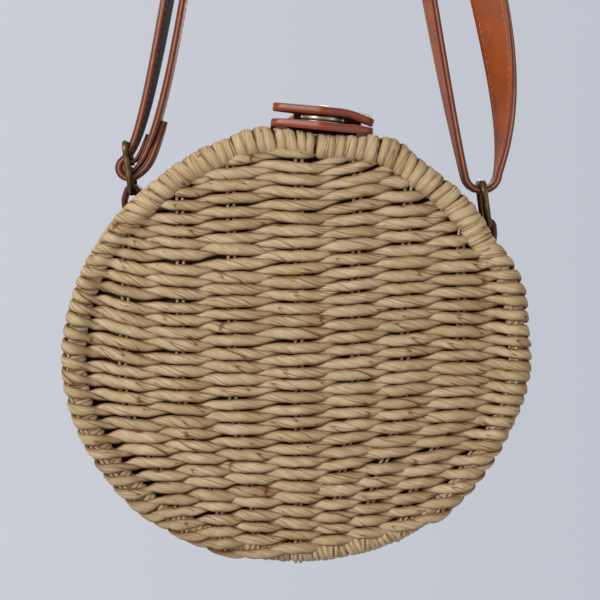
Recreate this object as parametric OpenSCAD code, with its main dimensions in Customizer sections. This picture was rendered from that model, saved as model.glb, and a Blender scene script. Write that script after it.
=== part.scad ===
// Round shoulder bag of paper twine woven over paired wires.
// Two bowed oval panels are joined by a narrow woven gusset that stops short of the top,
// where the mouth is bridged by a leather plate, a leather flap and a magnetic snap.
// One long leather strap runs twice over the hanging point, through a brass ring and back
// to a brass slider, and the bag hangs from both in leather side tabs.

/* [Bag body] */
// Width of the bag over its rims
bag_w = 190; // [170:1:220]
// Height of the bag over its rims
bag_h = 176; // [160:1:186]
// Distance between the front rim and the back rim, centre to centre
rim_gap = 58; // [48:1:75]
// How far each panel bows out beyond its rim
panel_bow = 9; // [4:0.5:14]
// Diameter of the wire inside each rim
rim_wire_d = 4; // [3:0.1:5]
// Diameter of the woven roll round the rim wire
rim_roll_d = 8; // [7:0.1:9.5]
// Diameter of the whipped binding along the mouth
mouth_binding_d = 10.5; // [10:0.1:12]
// Angle above level at which the gusset stops and the mouth begins
mouth_angle = 36; // [30:1:38]
// Angle at which the hanging bag leans, seen from the front
hang_tilt = 5.5; // [0:0.5:10]

/* [Weave] */
// Distance between the rows of twine
row_pitch = 5.2; // [4.6:0.1:7]
// Thickness of one row of twine
row_d = 5.4; // [5:0.1:6.2]
// Thickness of the woven wall between the rows
wall_t = 3; // [2.6:0.1:4]
// Diameter of one stake wire with its paper cover
stake_d = 1.3; // [1:0.1:1.5]
// Distance between the two wires of a pair
stake_pair_gap = 2.6; // [2.2:0.1:3.5]
// Distance between neighbouring pairs of stakes
stake_pitch = 24; // [18:1:30]

/* [Closure] */
// Width of the leather plate and of the flap
closure_w = 42; // [36:1:46]
// Thickness of the closure's leather
closure_t = 2.8; // [2.4:0.1:3.2]
// Length of the front plate
plate_len = 42; // [38:1:46]
// Length of the flap
flap_len = 58; // [54:1:64]
// How far plate and flap reach past the middle of their rim
rim_overhang = 6.5; // [5:0.5:7]
// Distance of the closure from the middle of the bag
closure_shift = 1.5; // [0:0.5:4]
// Distance of the snap in front of the bag's middle
snap_forward = 7; // [5:0.5:9]
// Diameter of the magnetic snap
snap_d = 18; // [15:0.5:20]

/* [Strap] */
// Width of the strap
strap_w = 16; // [12:0.5:17]
// Thickness of the two-ply strap
strap_t = 2.6; // [2.2:0.1:2.8]
// Height of the hanging point above the middle of the bag
hang_h = 380; // [340:5:460]
// Radius of the strap's bend over the hanging point
crown_r = 14; // [11:0.5:20]

/* [Ring and slider] */
// Diameter of the ring's wire
ring_wire_d = 3; // [2.5:0.1:3.2]
// Height of the ring between its bars
ring_h = 18.3; // [17:0.1:20]
// Width of the ring between its sides
ring_w = 23; // [21.5:0.5:25]
// Thickness of the slider's bars
slider_t = 2.7; // [2.2:0.1:2.9]
// Height of the slider between its outer bars
slider_h = 20.6; // [20:0.1:22]
// Width of the slider
slider_w = 24; // [22.5:0.5:26]
// Width of the leather side tabs
tab_w = 14; // [10:0.5:15]
// Thickness of the side tabs' leather
tab_t = 2; // [1.6:0.1:2.4]
// Distance along the gusset from a tab's rivet to the bar that the tab holds
tab_reach = 15.1; // [14.6:0.1:15.8]
// Distance of that bar outward from the gusset
tab_lift = 3.5; // [3.3:0.1:4]

/* [Hidden] */
$fn = 64;

// Colours of the paper twine, leather, brass and cloth
paper_colour = "#a68a66";
rim_colour = "#a9906f";
wire_colour = "#6b5a46";
leather_colour = "#7a4028";
brass_colour = "#5a4830";
snap_colour = "#9a8a70";
cloth_colour = "#4b3a30";

// Clearances shared by the whole bag
seat = 0.25;
slip = 0.1;
cut_over = 1;
full_turn = 360;
half_turn = 180;
quarter_turn = 90;
fine = 180;

// The oval outline: four arcs that meet at half a right angle
arc_meet = quarter_turn / 2;
arc_shift = (bag_w - bag_h) / 2 / (2 - sqrt(2));
side_arc_r = bag_w / 2 - arc_shift;
top_arc_r = bag_h / 2 + arc_shift;
oval_arcs = [
    [[arc_shift, 0], side_arc_r, -arc_meet],
    [[0, -arc_shift], top_arc_r, arc_meet],
    [[-arc_shift, 0], side_arc_r, half_turn - arc_meet],
    [[0, arc_shift], top_arc_r, half_turn + arc_meet],
    [[arc_shift, 0], side_arc_r, full_turn - arc_meet]
];

// Rims: the wire lies in the middle of the roll, and the gusset runs between the rolls
roll_r = rim_roll_d / 2;
roll_ease = 0.04; // the roll is wound a little tighter round the sides
binding_r = mouth_binding_d / 2;
wire_hole_d = rim_wire_d + 2 * slip;
rim_y = rim_gap / 2;
gusset_w = rim_gap - rim_roll_d - 2 * slip;
gusset_from = half_turn - mouth_angle;
gusset_to = full_turn + mouth_angle;

// The bowed panels are parts of a large sphere that meets the rim's plane in the middle of the roll
bow_edge = (bag_w + bag_h) / 4 - roll_r;
bow_r = (pow(bow_edge, 2) + pow(panel_bow, 2)) / (2 * panel_bow);
bow_back = bow_r - panel_bow;
bow_sweep = 2 * asin((bag_w / 2 + rim_roll_d) / bow_r);
shell_inset = roll_r + (roll_r + wire_hole_d / 2) / 2;
rib_inset = roll_r + binding_r + seat;
row_step = row_pitch / bow_r * half_turn / PI;
row_side_count = floor((bag_h / 2 - rib_inset) / row_pitch);
function bow_at(r) = sqrt(pow(bow_r, 2) - pow(r, 2)) - bow_back;

// Stakes: pairs of wires inside the woven wall, fanned a little towards the top
stake_hole_d = stake_d + 2 * slip;
stake_inset = roll_r + wire_hole_d / 2 + slip;
stake_focus = 4 * bag_h;
stake_side_count = floor((bag_w / 2 - rib_inset - stake_pair_gap) / stake_pitch);
gusset_rib_stop = 14;
gusset_row_side_count = floor((gusset_w - row_d) / 2 / row_pitch);
gusset_stake_turn = stake_pitch / side_arc_r * half_turn / PI;
gusset_stake_count = floor((gusset_to - gusset_from) / gusset_stake_turn);
gusset_stake_step = (gusset_to - gusset_from) / gusset_stake_count;

// Lining: a cloth pouch just inside the woven walls
lining_t = 1;
lining_inset = rib_inset;
lining_r = bow_r - row_d / 2 - seat;

// Closure: heights above the middle of the bag
rim_top_z = bag_h / 2 - roll_r;
loop_w = 4;
loop_t = 1.3;
loop_room = 0.75;
loop_in_r = binding_r + loop_room;
loop_r = loop_in_r + loop_t;
loop_inset = 5;
loop_x = closure_w / 2 - loop_inset;
rim_r_top = top_arc_r - roll_r;
loop_z = rim_top_z - rim_r_top + sqrt(pow(rim_r_top, 2) - pow(loop_x, 2));
plate_z = rim_top_z + binding_r + seat;
point_rise = 7;
corner_r = 4;
stud_base_t = 0.8;
stud_d = 5.6;
stud_h = 1.7;
snap_air = 0.25;
socket_t = 2;
socket_hole_d = 6.5;
socket_roof = 0.3;
magnet_d = 14;
magnet_hole_d = 7.7;
magnet_t = 1.3;
flap_z = plate_z + closure_t + stud_base_t + snap_air + socket_t;
flap_flat = 6;
flap_bend = 14;
snap_y = -snap_forward;
snap_rivet_d = 2.6;
snap_rivet_head_d = 4.6;
snap_rivet_head_t = 0.9;

// Strap anchors, seen from the front, once the bag leans
function lean(p) = [
    p[0] * cos(hang_tilt) + p[1] * sin(hang_tilt),
    -p[0] * sin(hang_tilt) + p[1] * cos(hang_tilt)
];

// Ring and slider lean with the pull of the strap
hardware_lean = 7.5;
hardware_up = [-sin(hardware_lean), cos(hardware_lean)];
ring_corner_r = 4;
slider_corner_r = 3;
rod_waist = 0.3;
slider_rod_d = slider_t - rod_waist;

// Side tabs: leather folded over the hardware and riveted through the gusset's end
tab_drop = 4.5;
tab_angle = mouth_angle - tab_drop;
tab_foot = 6;
tab_slot_room = 0.5;
tab_slot_r = wall_t / 2 + tab_slot_room;
tab_slot_end = side_arc_r * sin(mouth_angle - tab_angle);
tab_loop_room = 0.3;
tab_rivet_d = 3;
tab_rivet_head_d = 7;
tab_rivet_head_t = 1.3;
tab_root = [
    arc_shift + (side_arc_r - roll_r) * cos(tab_angle),
    (side_arc_r - roll_r) * sin(tab_angle)
];
anchor = tab_root + tab_reach * [-sin(tab_angle), cos(tab_angle)]
    + tab_lift * [cos(tab_angle), sin(tab_angle)];
anchor_right = lean(anchor);
anchor_left = lean([-anchor[0], anchor[1]]);

// Strap route, seen from the front, measured from the middle of the bag
crown_x = 2;
crown = [crown_x, hang_h - crown_r];
strap_gap = 0.35;
fixed_t = 1.2;
inner_crown_r = crown_r + strap_t / 2;
outer_crown_r = inner_crown_r + strap_t + strap_gap;
ring_top = anchor_right + ring_h * hardware_up;
bend_r = 7;
bend = ring_top + [0, bend_r - ring_wire_d / 2 - seat - strap_t / 2];
slider_mid = anchor_left + slider_h / 2 * hardware_up;
fixed_r = slider_rod_d / 2 + seat + fixed_t / 2;
live_r = fixed_r + fixed_t / 2 + strap_gap + strap_t / 2;
twist_most = 68;

function polar(c, r, a) = c + r * [cos(a), sin(a)];
function arc_route(c, r, from, to, steps) =
    [for (i = [0:steps]) polar(c, r, from + (to - from) * i / steps)];
function bezier(p, t) =
    pow(1 - t, 3) * p[0] + 3 * pow(1 - t, 2) * t * p[1]
    + 3 * (1 - t) * pow(t, 2) * p[2] + pow(t, 3) * p[3];
function heading(p, q) = (q - p) / norm(q - p);
function side_of(d) = [d[1], -d[0]];

// Places

// Moves a piece from the middle of the bag to the frame of the hanging point
module as_upright() {
    translate([-crown_x, 0, -hang_h])
        children();
}

// Carries a piece of the bag, which leans as it hangs
module as_hung() {
    as_upright()
        rotate([0, hang_tilt, 0])
            children();
}

// Stands a drawing up as a face of the bag, with its upper side to the front
module as_face() {
    rotate([quarter_turn, 0, 0])
        children();
}

// Repeats a piece of the front for the back when side is -1
module on_side(side) {
    mirror([0, side < 0 ? 1 : 0, 0])
        children();
}

// Shapes that several pieces share

// Filled oval outline, drawn in by inset, with even steps round each arc
oval_turn = 4;
module oval(inset) {
    polygon([
        for (arc = oval_arcs, i = [0:quarter_turn / oval_turn - 1])
            if (arc[2] < full_turn - quarter_turn)
                polar(arc[0], arc[1] - inset, arc[2] + i * oval_turn)
    ]);
}

// Solid oval through the whole depth of the bag
module oval_block(inset, depth) {
    as_face()
        linear_extrude(depth, center = true)
            oval(inset);
}

// Sweeps a profile, drawn round zero with its outer side to the right, along the oval's four arcs or some of them
module along_oval(inset, arcs = [0:3]) {
    for (i = arcs)
        translate(oval_arcs[i][0])
            rotate(oval_arcs[i][2])
                rotate_extrude(angle = quarter_turn, $fn = fine)
                    translate([oval_arcs[i][1] - inset, 0])
                        children();
}

// Sector above the gusset's ends, or above a lower angle, through the whole depth
module mouth_sector(angle) {
    reach = 2 * bag_w;
    linear_extrude(bag_w, center = true)
        polygon([
            [arc_shift, 0],
            [arc_shift + reach * cos(angle), reach * sin(angle)],
            [-arc_shift - reach * cos(angle), reach * sin(angle)],
            [-arc_shift, 0]
        ]);
}

// Revolves an upright profile round the axis that bows the front panel
module bowed() {
    translate([0, bow_back - rim_y, 0])
        rotate(-quarter_turn - bow_sweep / 2)
            rotate_extrude(angle = bow_sweep, $fn = 4 * fine)
                children();
}

// Half the oval's height at a distance from its middle, drawn in by inset
function chord(x, inset) =
    abs(x) < (top_arc_r - inset) * sin(arc_meet)
        ? sqrt(pow(top_arc_r - inset, 2) - pow(x, 2)) - arc_shift
        : sqrt(pow(side_arc_r - inset, 2) - pow(abs(x) - arc_shift, 2));

// Place on a fanned wire, seen from the front, at a distance from the wire's middle
function on_wire(turn, wire_x, l) =
    [wire_x * cos(turn), -stake_focus - wire_x * sin(turn)]
    + (stake_focus * cos(turn) + l) * [sin(turn), cos(turn)];

// Distance from a fanned wire's middle to the oval, found in a few steps
reach_steps = 8;
function wire_reach(turn, wire_x, inset, up, l, steps) =
    let (p = on_wire(turn, wire_x, l))
    steps == 0 ? l
        : wire_reach(turn, wire_x, inset, up, l + (up * chord(p[0], inset) - p[1]) / cos(turn), steps - 1);

// Wires that run up the front panel to the oval, thick enough for a wire or for its channel
module panel_wires(d, inset) {
    for (i = [-stake_side_count:stake_side_count], s = [-1, 1]) {
        turn = atan(i * stake_pitch / stake_focus);
        wire_x = s * stake_pair_gap / 2;
        off_middle = wire_x + stake_focus * sin(turn);
        wire_r = sqrt(pow(bow_r, 2) - pow(off_middle, 2));
        top = asin(wire_reach(turn, wire_x, inset, 1, 0, reach_steps) / wire_r);
        foot = asin(wire_reach(turn, wire_x, inset, -1, 0, reach_steps) / wire_r);
        translate([0, bow_back - rim_y, -stake_focus])
            rotate([0, turn, 0])
                translate([wire_x, 0, stake_focus * cos(turn)])
                    rotate([0, quarter_turn, 0])
                        rotate(-quarter_turn - top)
                            rotate_extrude(angle = top - foot, $fn = 4 * fine)
                                translate([wire_r, 0])
                                    circle(d = d, $fn = 24);
    }
}

// Wires that cross the gusset
module gusset_wires(d, length) {
    as_face()
        for (i = [0:gusset_stake_count - 1], s = [-1, 1]) {
            a = gusset_from + (i + 0.5) * gusset_stake_step;
            arc = oval_arcs[a >= full_turn - arc_meet ? 4 : floor((a + arc_meet) / quarter_turn)];
            translate(arc[0])
                rotate(a)
                    translate([arc[1] - roll_r, s * stake_pair_gap / 2])
                        cylinder(d = d, h = length, center = true, $fn = 24);
        }
}

// Leather band round the rim under both corners of the closure, or the room for it
module rim_loops(room) {
    for (s = [-1, 1])
        translate([closure_shift + s * loop_x, -rim_y, loop_z])
            rotate([0, quarter_turn, 0])
                difference() {
                    cylinder(r = loop_r + room, h = loop_w + 2 * room, center = true);
                    cylinder(r = loop_in_r - room, h = loop_w + 2 * room + cut_over, center = true);
                }
}

// Pointed outline of the closure's leather, from its front point to its back point
module closure_outline(front, back) {
    translate([closure_shift, 0])
        offset(r = corner_r, $fn = 32)
            offset(delta = -corner_r)
                polygon([
                    [0, front],
                    [closure_w / 2, front + point_rise],
                    [closure_w / 2, back - point_rise],
                    [0, back],
                    [-closure_w / 2, back - point_rise],
                    [-closure_w / 2, front + point_rise]
                ]);
}

// Cylinder on the snap's axis
module on_snap(z, d, h) {
    translate([closure_shift, snap_y, z])
        cylinder(d = d, h = h);
}

// Wire bent to a rounded rectangle that stands on its lower bar's middle
module wire_loop(w, h, corner, d) {
    straight_w = w - 2 * corner;
    straight_h = h - 2 * corner;
    translate([0, h / 2, 0])
        for (s = [-1, 1]) {
            translate([0, s * h / 2, 0])
                rotate([0, quarter_turn, 0])
                    cylinder(d = d, h = straight_w, center = true);
            translate([s * w / 2, 0, 0])
                rotate([quarter_turn, 0, 0])
                    cylinder(d = d, h = straight_h, center = true);
            for (v = [-1, 1])
                translate([s * straight_w / 2, v * straight_h / 2, 0])
                    rotate(s > 0 ? (v > 0 ? 0 : -quarter_turn) : (v > 0 ? quarter_turn : half_turn))
                        rotate_extrude(angle = quarter_turn)
                            translate([corner, 0])
                                circle(d = d, $fn = 32);
        }
}

// Puts a piece of hardware up from an anchor, with its bars across the strap
module at_anchor(p) {
    as_upright()
        translate([p[0], 0, p[1]])
            rotate([0, -hardware_lean, 0])
                rotate([quarter_turn, 0, quarter_turn])
                    children();
}

// Frame, wires and weave

module rim_wire(side) {
    color(wire_colour)
        as_hung()
            on_side(side)
                translate([0, -rim_y, 0])
                    as_face()
                        along_oval(roll_r)
                            circle(d = rim_wire_d, $fn = 32);
}

module front_rim_wire() {
    rim_wire(1);
}

module back_rim_wire() {
    rim_wire(-1);
}

module stakes(side) {
    color(wire_colour)
        as_hung()
            on_side(side)
                panel_wires(stake_d, stake_inset + slip);
}

module front_stakes() {
    stakes(1);
}

module back_stakes() {
    stakes(-1);
}

module gusset_stakes() {
    color(wire_colour)
        as_hung()
            gusset_wires(stake_d, gusset_w);
}

// Bowed panel: rows of twine on a thin wall, rolled round the rim wire
module panel_weave(side) {
    color(paper_colour)
        as_hung()
            on_side(side)
                difference() {
                    union() {
                        intersection() {
                            bowed()
                                intersection() {
                                    difference() {
                                        circle(r = bow_r + wall_t / 2, $fn = 8 * fine);
                                        circle(r = bow_r - wall_t / 2, $fn = 8 * fine);
                                    }
                                    translate([bow_r, 0])
                                        square([2 * bag_h, bag_h], center = true);
                                }
                            oval_block(shell_inset, rim_gap + 4 * panel_bow);
                        }
                        intersection() {
                            bowed()
                                for (i = [-row_side_count:row_side_count])
                                    rotate(i * row_step)
                                        translate([bow_r, 0])
                                            circle(d = row_d, $fn = 24);
                            oval_block(rib_inset, rim_gap + 4 * panel_bow);
                        }
                        translate([0, -rim_y, 0])
                            as_face()
                                for (tight = [0, 1])
                                    along_oval(roll_r, [1 - tight:2:3])
                                        difference() {
                                            circle(r = roll_r - tight * roll_ease);
                                            circle(d = wire_hole_d, $fn = 32);
                                        }
                    }
                    panel_wires(stake_hole_d, stake_inset);
                    rim_loops(seat);
                }
}

module front_weave() {
    panel_weave(1);
}

module back_weave() {
    panel_weave(-1);
}

// Gusset: a woven band between the rims, with rows of twine along it
module gusset_weave() {
    color(paper_colour)
        as_hung()
            difference() {
                as_face() {
                    difference() {
                        along_oval(roll_r)
                            square([wall_t, gusset_w], center = true);
                        mouth_sector(mouth_angle);
                    }
                    difference() {
                        along_oval(roll_r)
                            for (i = [-gusset_row_side_count:gusset_row_side_count])
                                translate([0, i * row_pitch])
                                    circle(d = row_d, $fn = 24);
                        mouth_sector(mouth_angle - gusset_rib_stop);
                    }
                }
                gusset_wires(stake_hole_d, rim_gap);
                for (s = [-1, 1])
                    at_gusset_end(s)
                        cylinder(d = tab_rivet_d + 2 * slip, h = rim_roll_d, center = true);
            }
}

// Whipped binding that covers each rim's roll along the mouth
module mouth_binding(side) {
    color(rim_colour)
        as_hung()
            on_side(side)
                translate([0, -rim_y, 0])
                    as_face()
                        intersection() {
                            along_oval(roll_r)
                                difference() {
                                    circle(d = mouth_binding_d);
                                    circle(d = rim_roll_d + 2 * slip);
                                    translate([-mouth_binding_d, -wall_t / 2 - seat])
                                        square([
                                            mouth_binding_d,
                                            wall_t + 2 * seat + bow_at(bow_edge - rib_inset)
                                        ]);
                                }
                            mouth_sector(mouth_angle);
                        }
}

module front_mouth_binding() {
    mouth_binding(1);
}

module back_mouth_binding() {
    mouth_binding(-1);
}

// Bindings round the gusset's two ends, on both sides of each leather tab
module mouth_end_bindings() {
    end_inner = tab_w / 2 + 2 * seat;
    end_len = gusset_w / 2 - binding_r + roll_r - end_inner;
    color(rim_colour)
        as_hung()
            as_face()
                for (s = [0, 1], v = [-1, 1])
                    mirror([s, 0, 0])
                        translate([arc_shift, 0])
                            rotate(mouth_angle)
                                translate([side_arc_r - roll_r, 0, v * (end_inner + end_len / 2)])
                                    difference() {
                                        cylinder(r = roll_r, h = end_len, center = true);
                                        translate([0, -roll_r / 2, 0])
                                            cube([wall_t + 2 * seat, roll_r + 2 * seat, rim_gap],
                                                 center = true);
                                    }
}

// Cloth pouch with an open mouth between the gusset's ends
module pouch(inset, r) {
    intersection() {
        oval_block(inset, rim_gap + 4 * panel_bow);
        translate([0, bow_back - rim_y, 0])
            sphere(r = r, $fn = 2 * fine);
        translate([0, rim_y - bow_back, 0])
            sphere(r = r, $fn = 2 * fine);
    }
}

module lining_bag() {
    mouth_depth = 2 * (rim_y - row_d);
    color(cloth_colour)
        as_hung()
            difference() {
                pouch(lining_inset, lining_r);
                pouch(lining_inset + lining_t, lining_r - lining_t);
                as_face()
                    intersection() {
                        linear_extrude(mouth_depth, center = true)
                            difference() {
                                square(2 * bag_w, center = true);
                                oval(lining_inset + 2 * lining_t);
                            }
                        mouth_sector(mouth_angle);
                    }
                for (side = [-1, 1])
                    on_side(side)
                        rim_loops(seat);
            }
}

// Closure

module closure_plate() {
    front = -rim_y - rim_overhang;
    color(leather_colour)
        as_hung()
            difference() {
                union() {
                    translate([0, 0, plate_z])
                        linear_extrude(closure_t)
                            closure_outline(front, front + plate_len);
                    rim_loops(0);
                }
                on_snap(plate_z - cut_over, snap_rivet_d + 2 * slip, closure_t + 2 * cut_over);
            }
}

module snap_stud() {
    base_z = plate_z + closure_t;
    color(snap_colour)
        as_hung()
            difference() {
                union() {
                    on_snap(base_z, snap_d, stud_base_t);
                    on_snap(base_z, stud_d, stud_base_t + stud_h);
                }
                on_snap(base_z - cut_over, snap_rivet_d + 2 * slip, stud_base_t + cut_over);
            }
}

module stud_rivet() {
    color(snap_colour)
        as_hung() {
            on_snap(plate_z - snap_rivet_head_t, snap_rivet_head_d, snap_rivet_head_t);
            on_snap(plate_z - snap_rivet_head_t, snap_rivet_d,
                    snap_rivet_head_t + closure_t + stud_base_t);
        }
}

// Side view of the flap's middle: flat on the rim, up in an even bend, flat over the snap
flap_turn = 2 * atan((flap_z - plate_z) / flap_bend);
flap_turn_r = flap_bend / 2 / sin(flap_turn);
flap_back = rim_y + rim_overhang;
flap_bend_y = rim_y - flap_flat;
flap_low = [flap_bend_y, plate_z + closure_t / 2];
flap_high = [flap_bend_y - flap_bend, flap_z + closure_t / 2];
flap_side_route = concat(
    [[flap_back + cut_over, plate_z + closure_t / 2]],
    arc_route(flap_low + [0, flap_turn_r], flap_turn_r, -quarter_turn, -quarter_turn - flap_turn, 8),
    arc_route(flap_high - [0, flap_turn_r], flap_turn_r, quarter_turn - flap_turn, quarter_turn, 8),
    [[flap_back - flap_len - cut_over, flap_z + closure_t / 2]]
);

// Outline of a band of one thickness along a route
function band(route, t) =
    let (last = len(route) - 1)
    let (across = [for (i = [0:last])
        side_of(heading(route[max(i - 1, 0)], route[min(i + 1, last)]))])
    concat(
        [for (i = [0:last]) route[i] + across[i] * t / 2],
        [for (i = [last:-1:0]) route[i] - across[i] * t / 2]
    );

module closure_flap() {
    color(leather_colour)
        as_hung()
            difference() {
                union() {
                    intersection() {
                        translate([closure_shift, 0, 0])
                            rotate([quarter_turn, 0, quarter_turn])
                                linear_extrude(closure_w + 2 * cut_over, center = true)
                                    polygon(band(flap_side_route, closure_t));
                        linear_extrude(bag_h)
                            closure_outline(flap_back - flap_len, flap_back);
                    }
                    on_side(-1)
                        rim_loops(0);
                }
                on_snap(flap_z - cut_over, snap_rivet_d + 2 * slip, closure_t + 2 * cut_over);
            }
}

module snap_socket() {
    pocket_z = flap_z - socket_t - cut_over;
    color(snap_colour)
        as_hung()
            difference() {
                on_snap(flap_z - socket_t, snap_d, socket_t);
                on_snap(pocket_z, socket_hole_d, socket_t - socket_roof + cut_over);
                difference() {
                    on_snap(pocket_z, magnet_d + 2 * slip, magnet_t + slip + cut_over);
                    on_snap(pocket_z, magnet_hole_d - 2 * slip, magnet_t + slip + cut_over);
                }
            }
}

module snap_magnet() {
    color(wire_colour)
        as_hung()
            difference() {
                on_snap(flap_z - socket_t, magnet_d, magnet_t);
                on_snap(flap_z - socket_t - cut_over, magnet_hole_d, magnet_t + 2 * cut_over);
            }
}

module socket_rivet() {
    color(snap_colour)
        as_hung() {
            on_snap(flap_z, snap_rivet_d, closure_t + snap_rivet_head_t);
            on_snap(flap_z + closure_t, snap_rivet_head_d, snap_rivet_head_t);
        }
}

// Side tabs

// Puts a piece on the gusset's end: along the gusset is y, outward is z, 1 is the right
module at_gusset_end(s) {
    mirror([s < 0 ? 1 : 0, 0, 0])
        translate([tab_root[0], 0, tab_root[1]])
            rotate([0, quarter_turn - tab_angle, 0])
                rotate([0, 0, quarter_turn])
                    children();
}

// Outline of the folded leather, or of the room in it: flat on the gusset, then up to the bar
module tab_side_view(bar_r, half_gap, foot) {
    translate([-foot, -half_gap])
        square([foot + tab_slot_end + seat, 2 * half_gap]);
    hull() {
        translate([tab_reach, tab_lift])
            circle(r = bar_r, $fn = 48);
        translate([tab_slot_end, -half_gap])
            square([seat, 2 * half_gap]);
    }
}

module side_tab(s, bar_d) {
    loop_in = bar_d / 2 + tab_loop_room;
    color(leather_colour)
        as_hung()
            at_gusset_end(s)
                difference() {
                    rotate([quarter_turn, 0, 0])
                        rotate([0, quarter_turn, 0])
                            linear_extrude(tab_w, center = true)
                                difference() {
                                    tab_side_view(loop_in + tab_t, tab_slot_r + tab_t, tab_foot);
                                    tab_side_view(loop_in, tab_slot_r, tab_foot + cut_over);
                                }
                    cylinder(d = tab_rivet_d + 2 * slip, h = bag_w, center = true);
                }
}

module side_tab_left() {
    side_tab(-1, slider_t);
}

module side_tab_right() {
    side_tab(1, ring_wire_d);
}

module tab_rivets() {
    grip = 2 * (tab_slot_r + tab_t) + slip;
    color(brass_colour)
        as_hung()
            for (s = [-1, 1])
                at_gusset_end(s) {
                    cylinder(d = tab_rivet_d, h = grip + 2 * tab_rivet_head_t, center = true);
                    for (v = [-1, 1])
                        translate([0, 0, v * (grip + tab_rivet_head_t) / 2])
                            cylinder(d = tab_rivet_head_d, h = tab_rivet_head_t, center = true);
                }
}

// Strap and hardware

module strap_ring() {
    color(brass_colour)
        at_anchor(anchor_right)
            wire_loop(ring_w, ring_h, ring_corner_r, ring_wire_d);
}

module strap_slider() {
    color(brass_colour)
        at_anchor(anchor_left) {
            wire_loop(slider_w - slider_t, slider_h, slider_corner_r, slider_t);
            translate([0, slider_h / 2, 0])
                rotate([0, quarter_turn, 0])
                    cylinder(d = slider_rod_d, h = slider_w - slider_t, center = true);
        }
}

// Ends of the route's bends, as angles on their circles
fixed_from = 128;
fixed_to = 318;
inner_left = 171;
inner_right = 10;
bend_from = 196;
bend_to = 356;
outer_right = 12;
outer_left = 171;
live_from = 127;
live_to = 304;
leg_steps = 16;
tip_steps = 6;
crown_steps = 14;
turn_steps = 12;

// Degrees at each end of a bend that are left to the legs
rod_ease = 12;
crown_ease = 8;
bend_ease = 14;

// Distances over which a leg keeps the heading of the bend that it leaves or enters
slider_handle = 16;
rod_handle = 4;
rising_handle = 8;
live_handle = 24;
crown_handle = 120;
bend_handle = 60;

function leg(p, from, from_handle, q, to, to_handle) =
    [p, p + from_handle * from, q - to_handle * to, q];
function leg_route(curve, from, to, steps) =
    [for (i = [0:steps]) bezier(curve, from + (to - from) * i / steps)];
function clockwise(a) = [sin(a), -cos(a)];
function counter(a) = [-sin(a), cos(a)];

rising_leg = leg(polar(slider_mid, fixed_r, fixed_to), counter(fixed_to), rising_handle,
                 polar(crown, inner_crown_r, inner_left), clockwise(inner_left), crown_handle);
inner_leg = leg(polar(crown, inner_crown_r, inner_right), clockwise(inner_right), crown_handle,
                polar(bend, bend_r, bend_from), counter(bend_from), bend_handle);
outer_leg = leg(polar(bend, bend_r, bend_to), counter(bend_to), bend_handle,
                polar(crown, outer_crown_r, outer_right), counter(outer_right), crown_handle);
live_leg = leg(polar(crown, outer_crown_r, outer_left), counter(outer_left), crown_handle,
               polar(slider_mid, live_r, live_from), counter(live_from), live_handle);

// Stations along the strap: place seen from the front, thickness and turn of the band
function stations(route, t) = [for (p = route) [p[0], p[1], t, 0]];
function tapered(route, t_from, t_to, over) =
    let (last = len(route) - 1)
    [for (i = [0:last])
        [route[i][0], route[i][1], t_from + (t_to - t_from) * min(1, i / last / over), 0]];
function twisted(route, t, most) =
    let (last = len(route) - 1)
    [for (i = [0:last])
        [route[i][0], route[i][1], t, most * pow(sin(half_turn * i / last), 2)]];

// The sewn end lies against the rising leg, and the live end lies on its other side
sewn_share = 0.16;
tail_share = 0.2;
way_share = 0.01;
ply_share = 0.1;
rising_start = bezier(rising_leg, sewn_share);
rising_way = heading(rising_start, bezier(rising_leg, sewn_share + way_share));
sewn_tip = rising_start - (strap_t / 2 + strap_gap + fixed_t / 2) * side_of(rising_way);
sewn_leg = leg(sewn_tip, -rising_way, slider_handle,
               polar(slider_mid, fixed_r, fixed_from), counter(fixed_from), rod_handle);
tail_tip = bezier(rising_leg, tail_share) + (strap_t + strap_gap) * side_of(rising_way);
tail_leg = leg(polar(slider_mid, live_r, live_to), counter(live_to), rising_handle,
               tail_tip, rising_way, slider_handle);

strap_stations = concat(
    stations(leg_route(sewn_leg, 0, 1, tip_steps), fixed_t),
    stations(arc_route(slider_mid, fixed_r, fixed_from + rod_ease, fixed_to - rod_ease, turn_steps), fixed_t),
    tapered(leg_route(rising_leg, 0, 1, 2 * leg_steps), fixed_t, strap_t, ply_share),
    stations(arc_route(crown, inner_crown_r, inner_left - crown_ease, inner_right + crown_ease, crown_steps), strap_t),
    stations(leg_route(inner_leg, 0, 1, leg_steps), strap_t),
    stations(arc_route(bend, bend_r, bend_from + bend_ease, bend_to - bend_ease, turn_steps), strap_t),
    twisted(leg_route(outer_leg, 0, 1, 2 * leg_steps), strap_t, twist_most),
    stations(arc_route(crown, outer_crown_r, outer_right + crown_ease, outer_left - crown_ease, crown_steps), strap_t),
    stations(leg_route(live_leg, 0, 1, leg_steps), strap_t),
    stations(arc_route(slider_mid, live_r, live_from + rod_ease, live_to - rod_ease, turn_steps), strap_t),
    stations(leg_route(tail_leg, 0, 1, tip_steps), strap_t)
);

// Four corners of the band at one station, turned about the route by the station's angle
function band_ring(route, i) =
    let (
        last = len(route) - 1,
        here = [route[i][0], route[i][1]],
        before = route[max(i - 1, 0)],
        after = route[min(i + 1, last)],
        way = heading([before[0], before[1]], [after[0], after[1]]),
        flat = side_of(way),
        turn = route[i][3],
        across = strap_w / 2 * [flat[0] * sin(turn), cos(turn), flat[1] * sin(turn)],
        through = route[i][2] / 2 * [flat[0] * cos(turn), -sin(turn), flat[1] * cos(turn)],
        middle = [here[0], 0, here[1]]
    )
    [
        middle - across - through,
        middle + across - through,
        middle + across + through,
        middle - across + through
    ];

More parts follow.
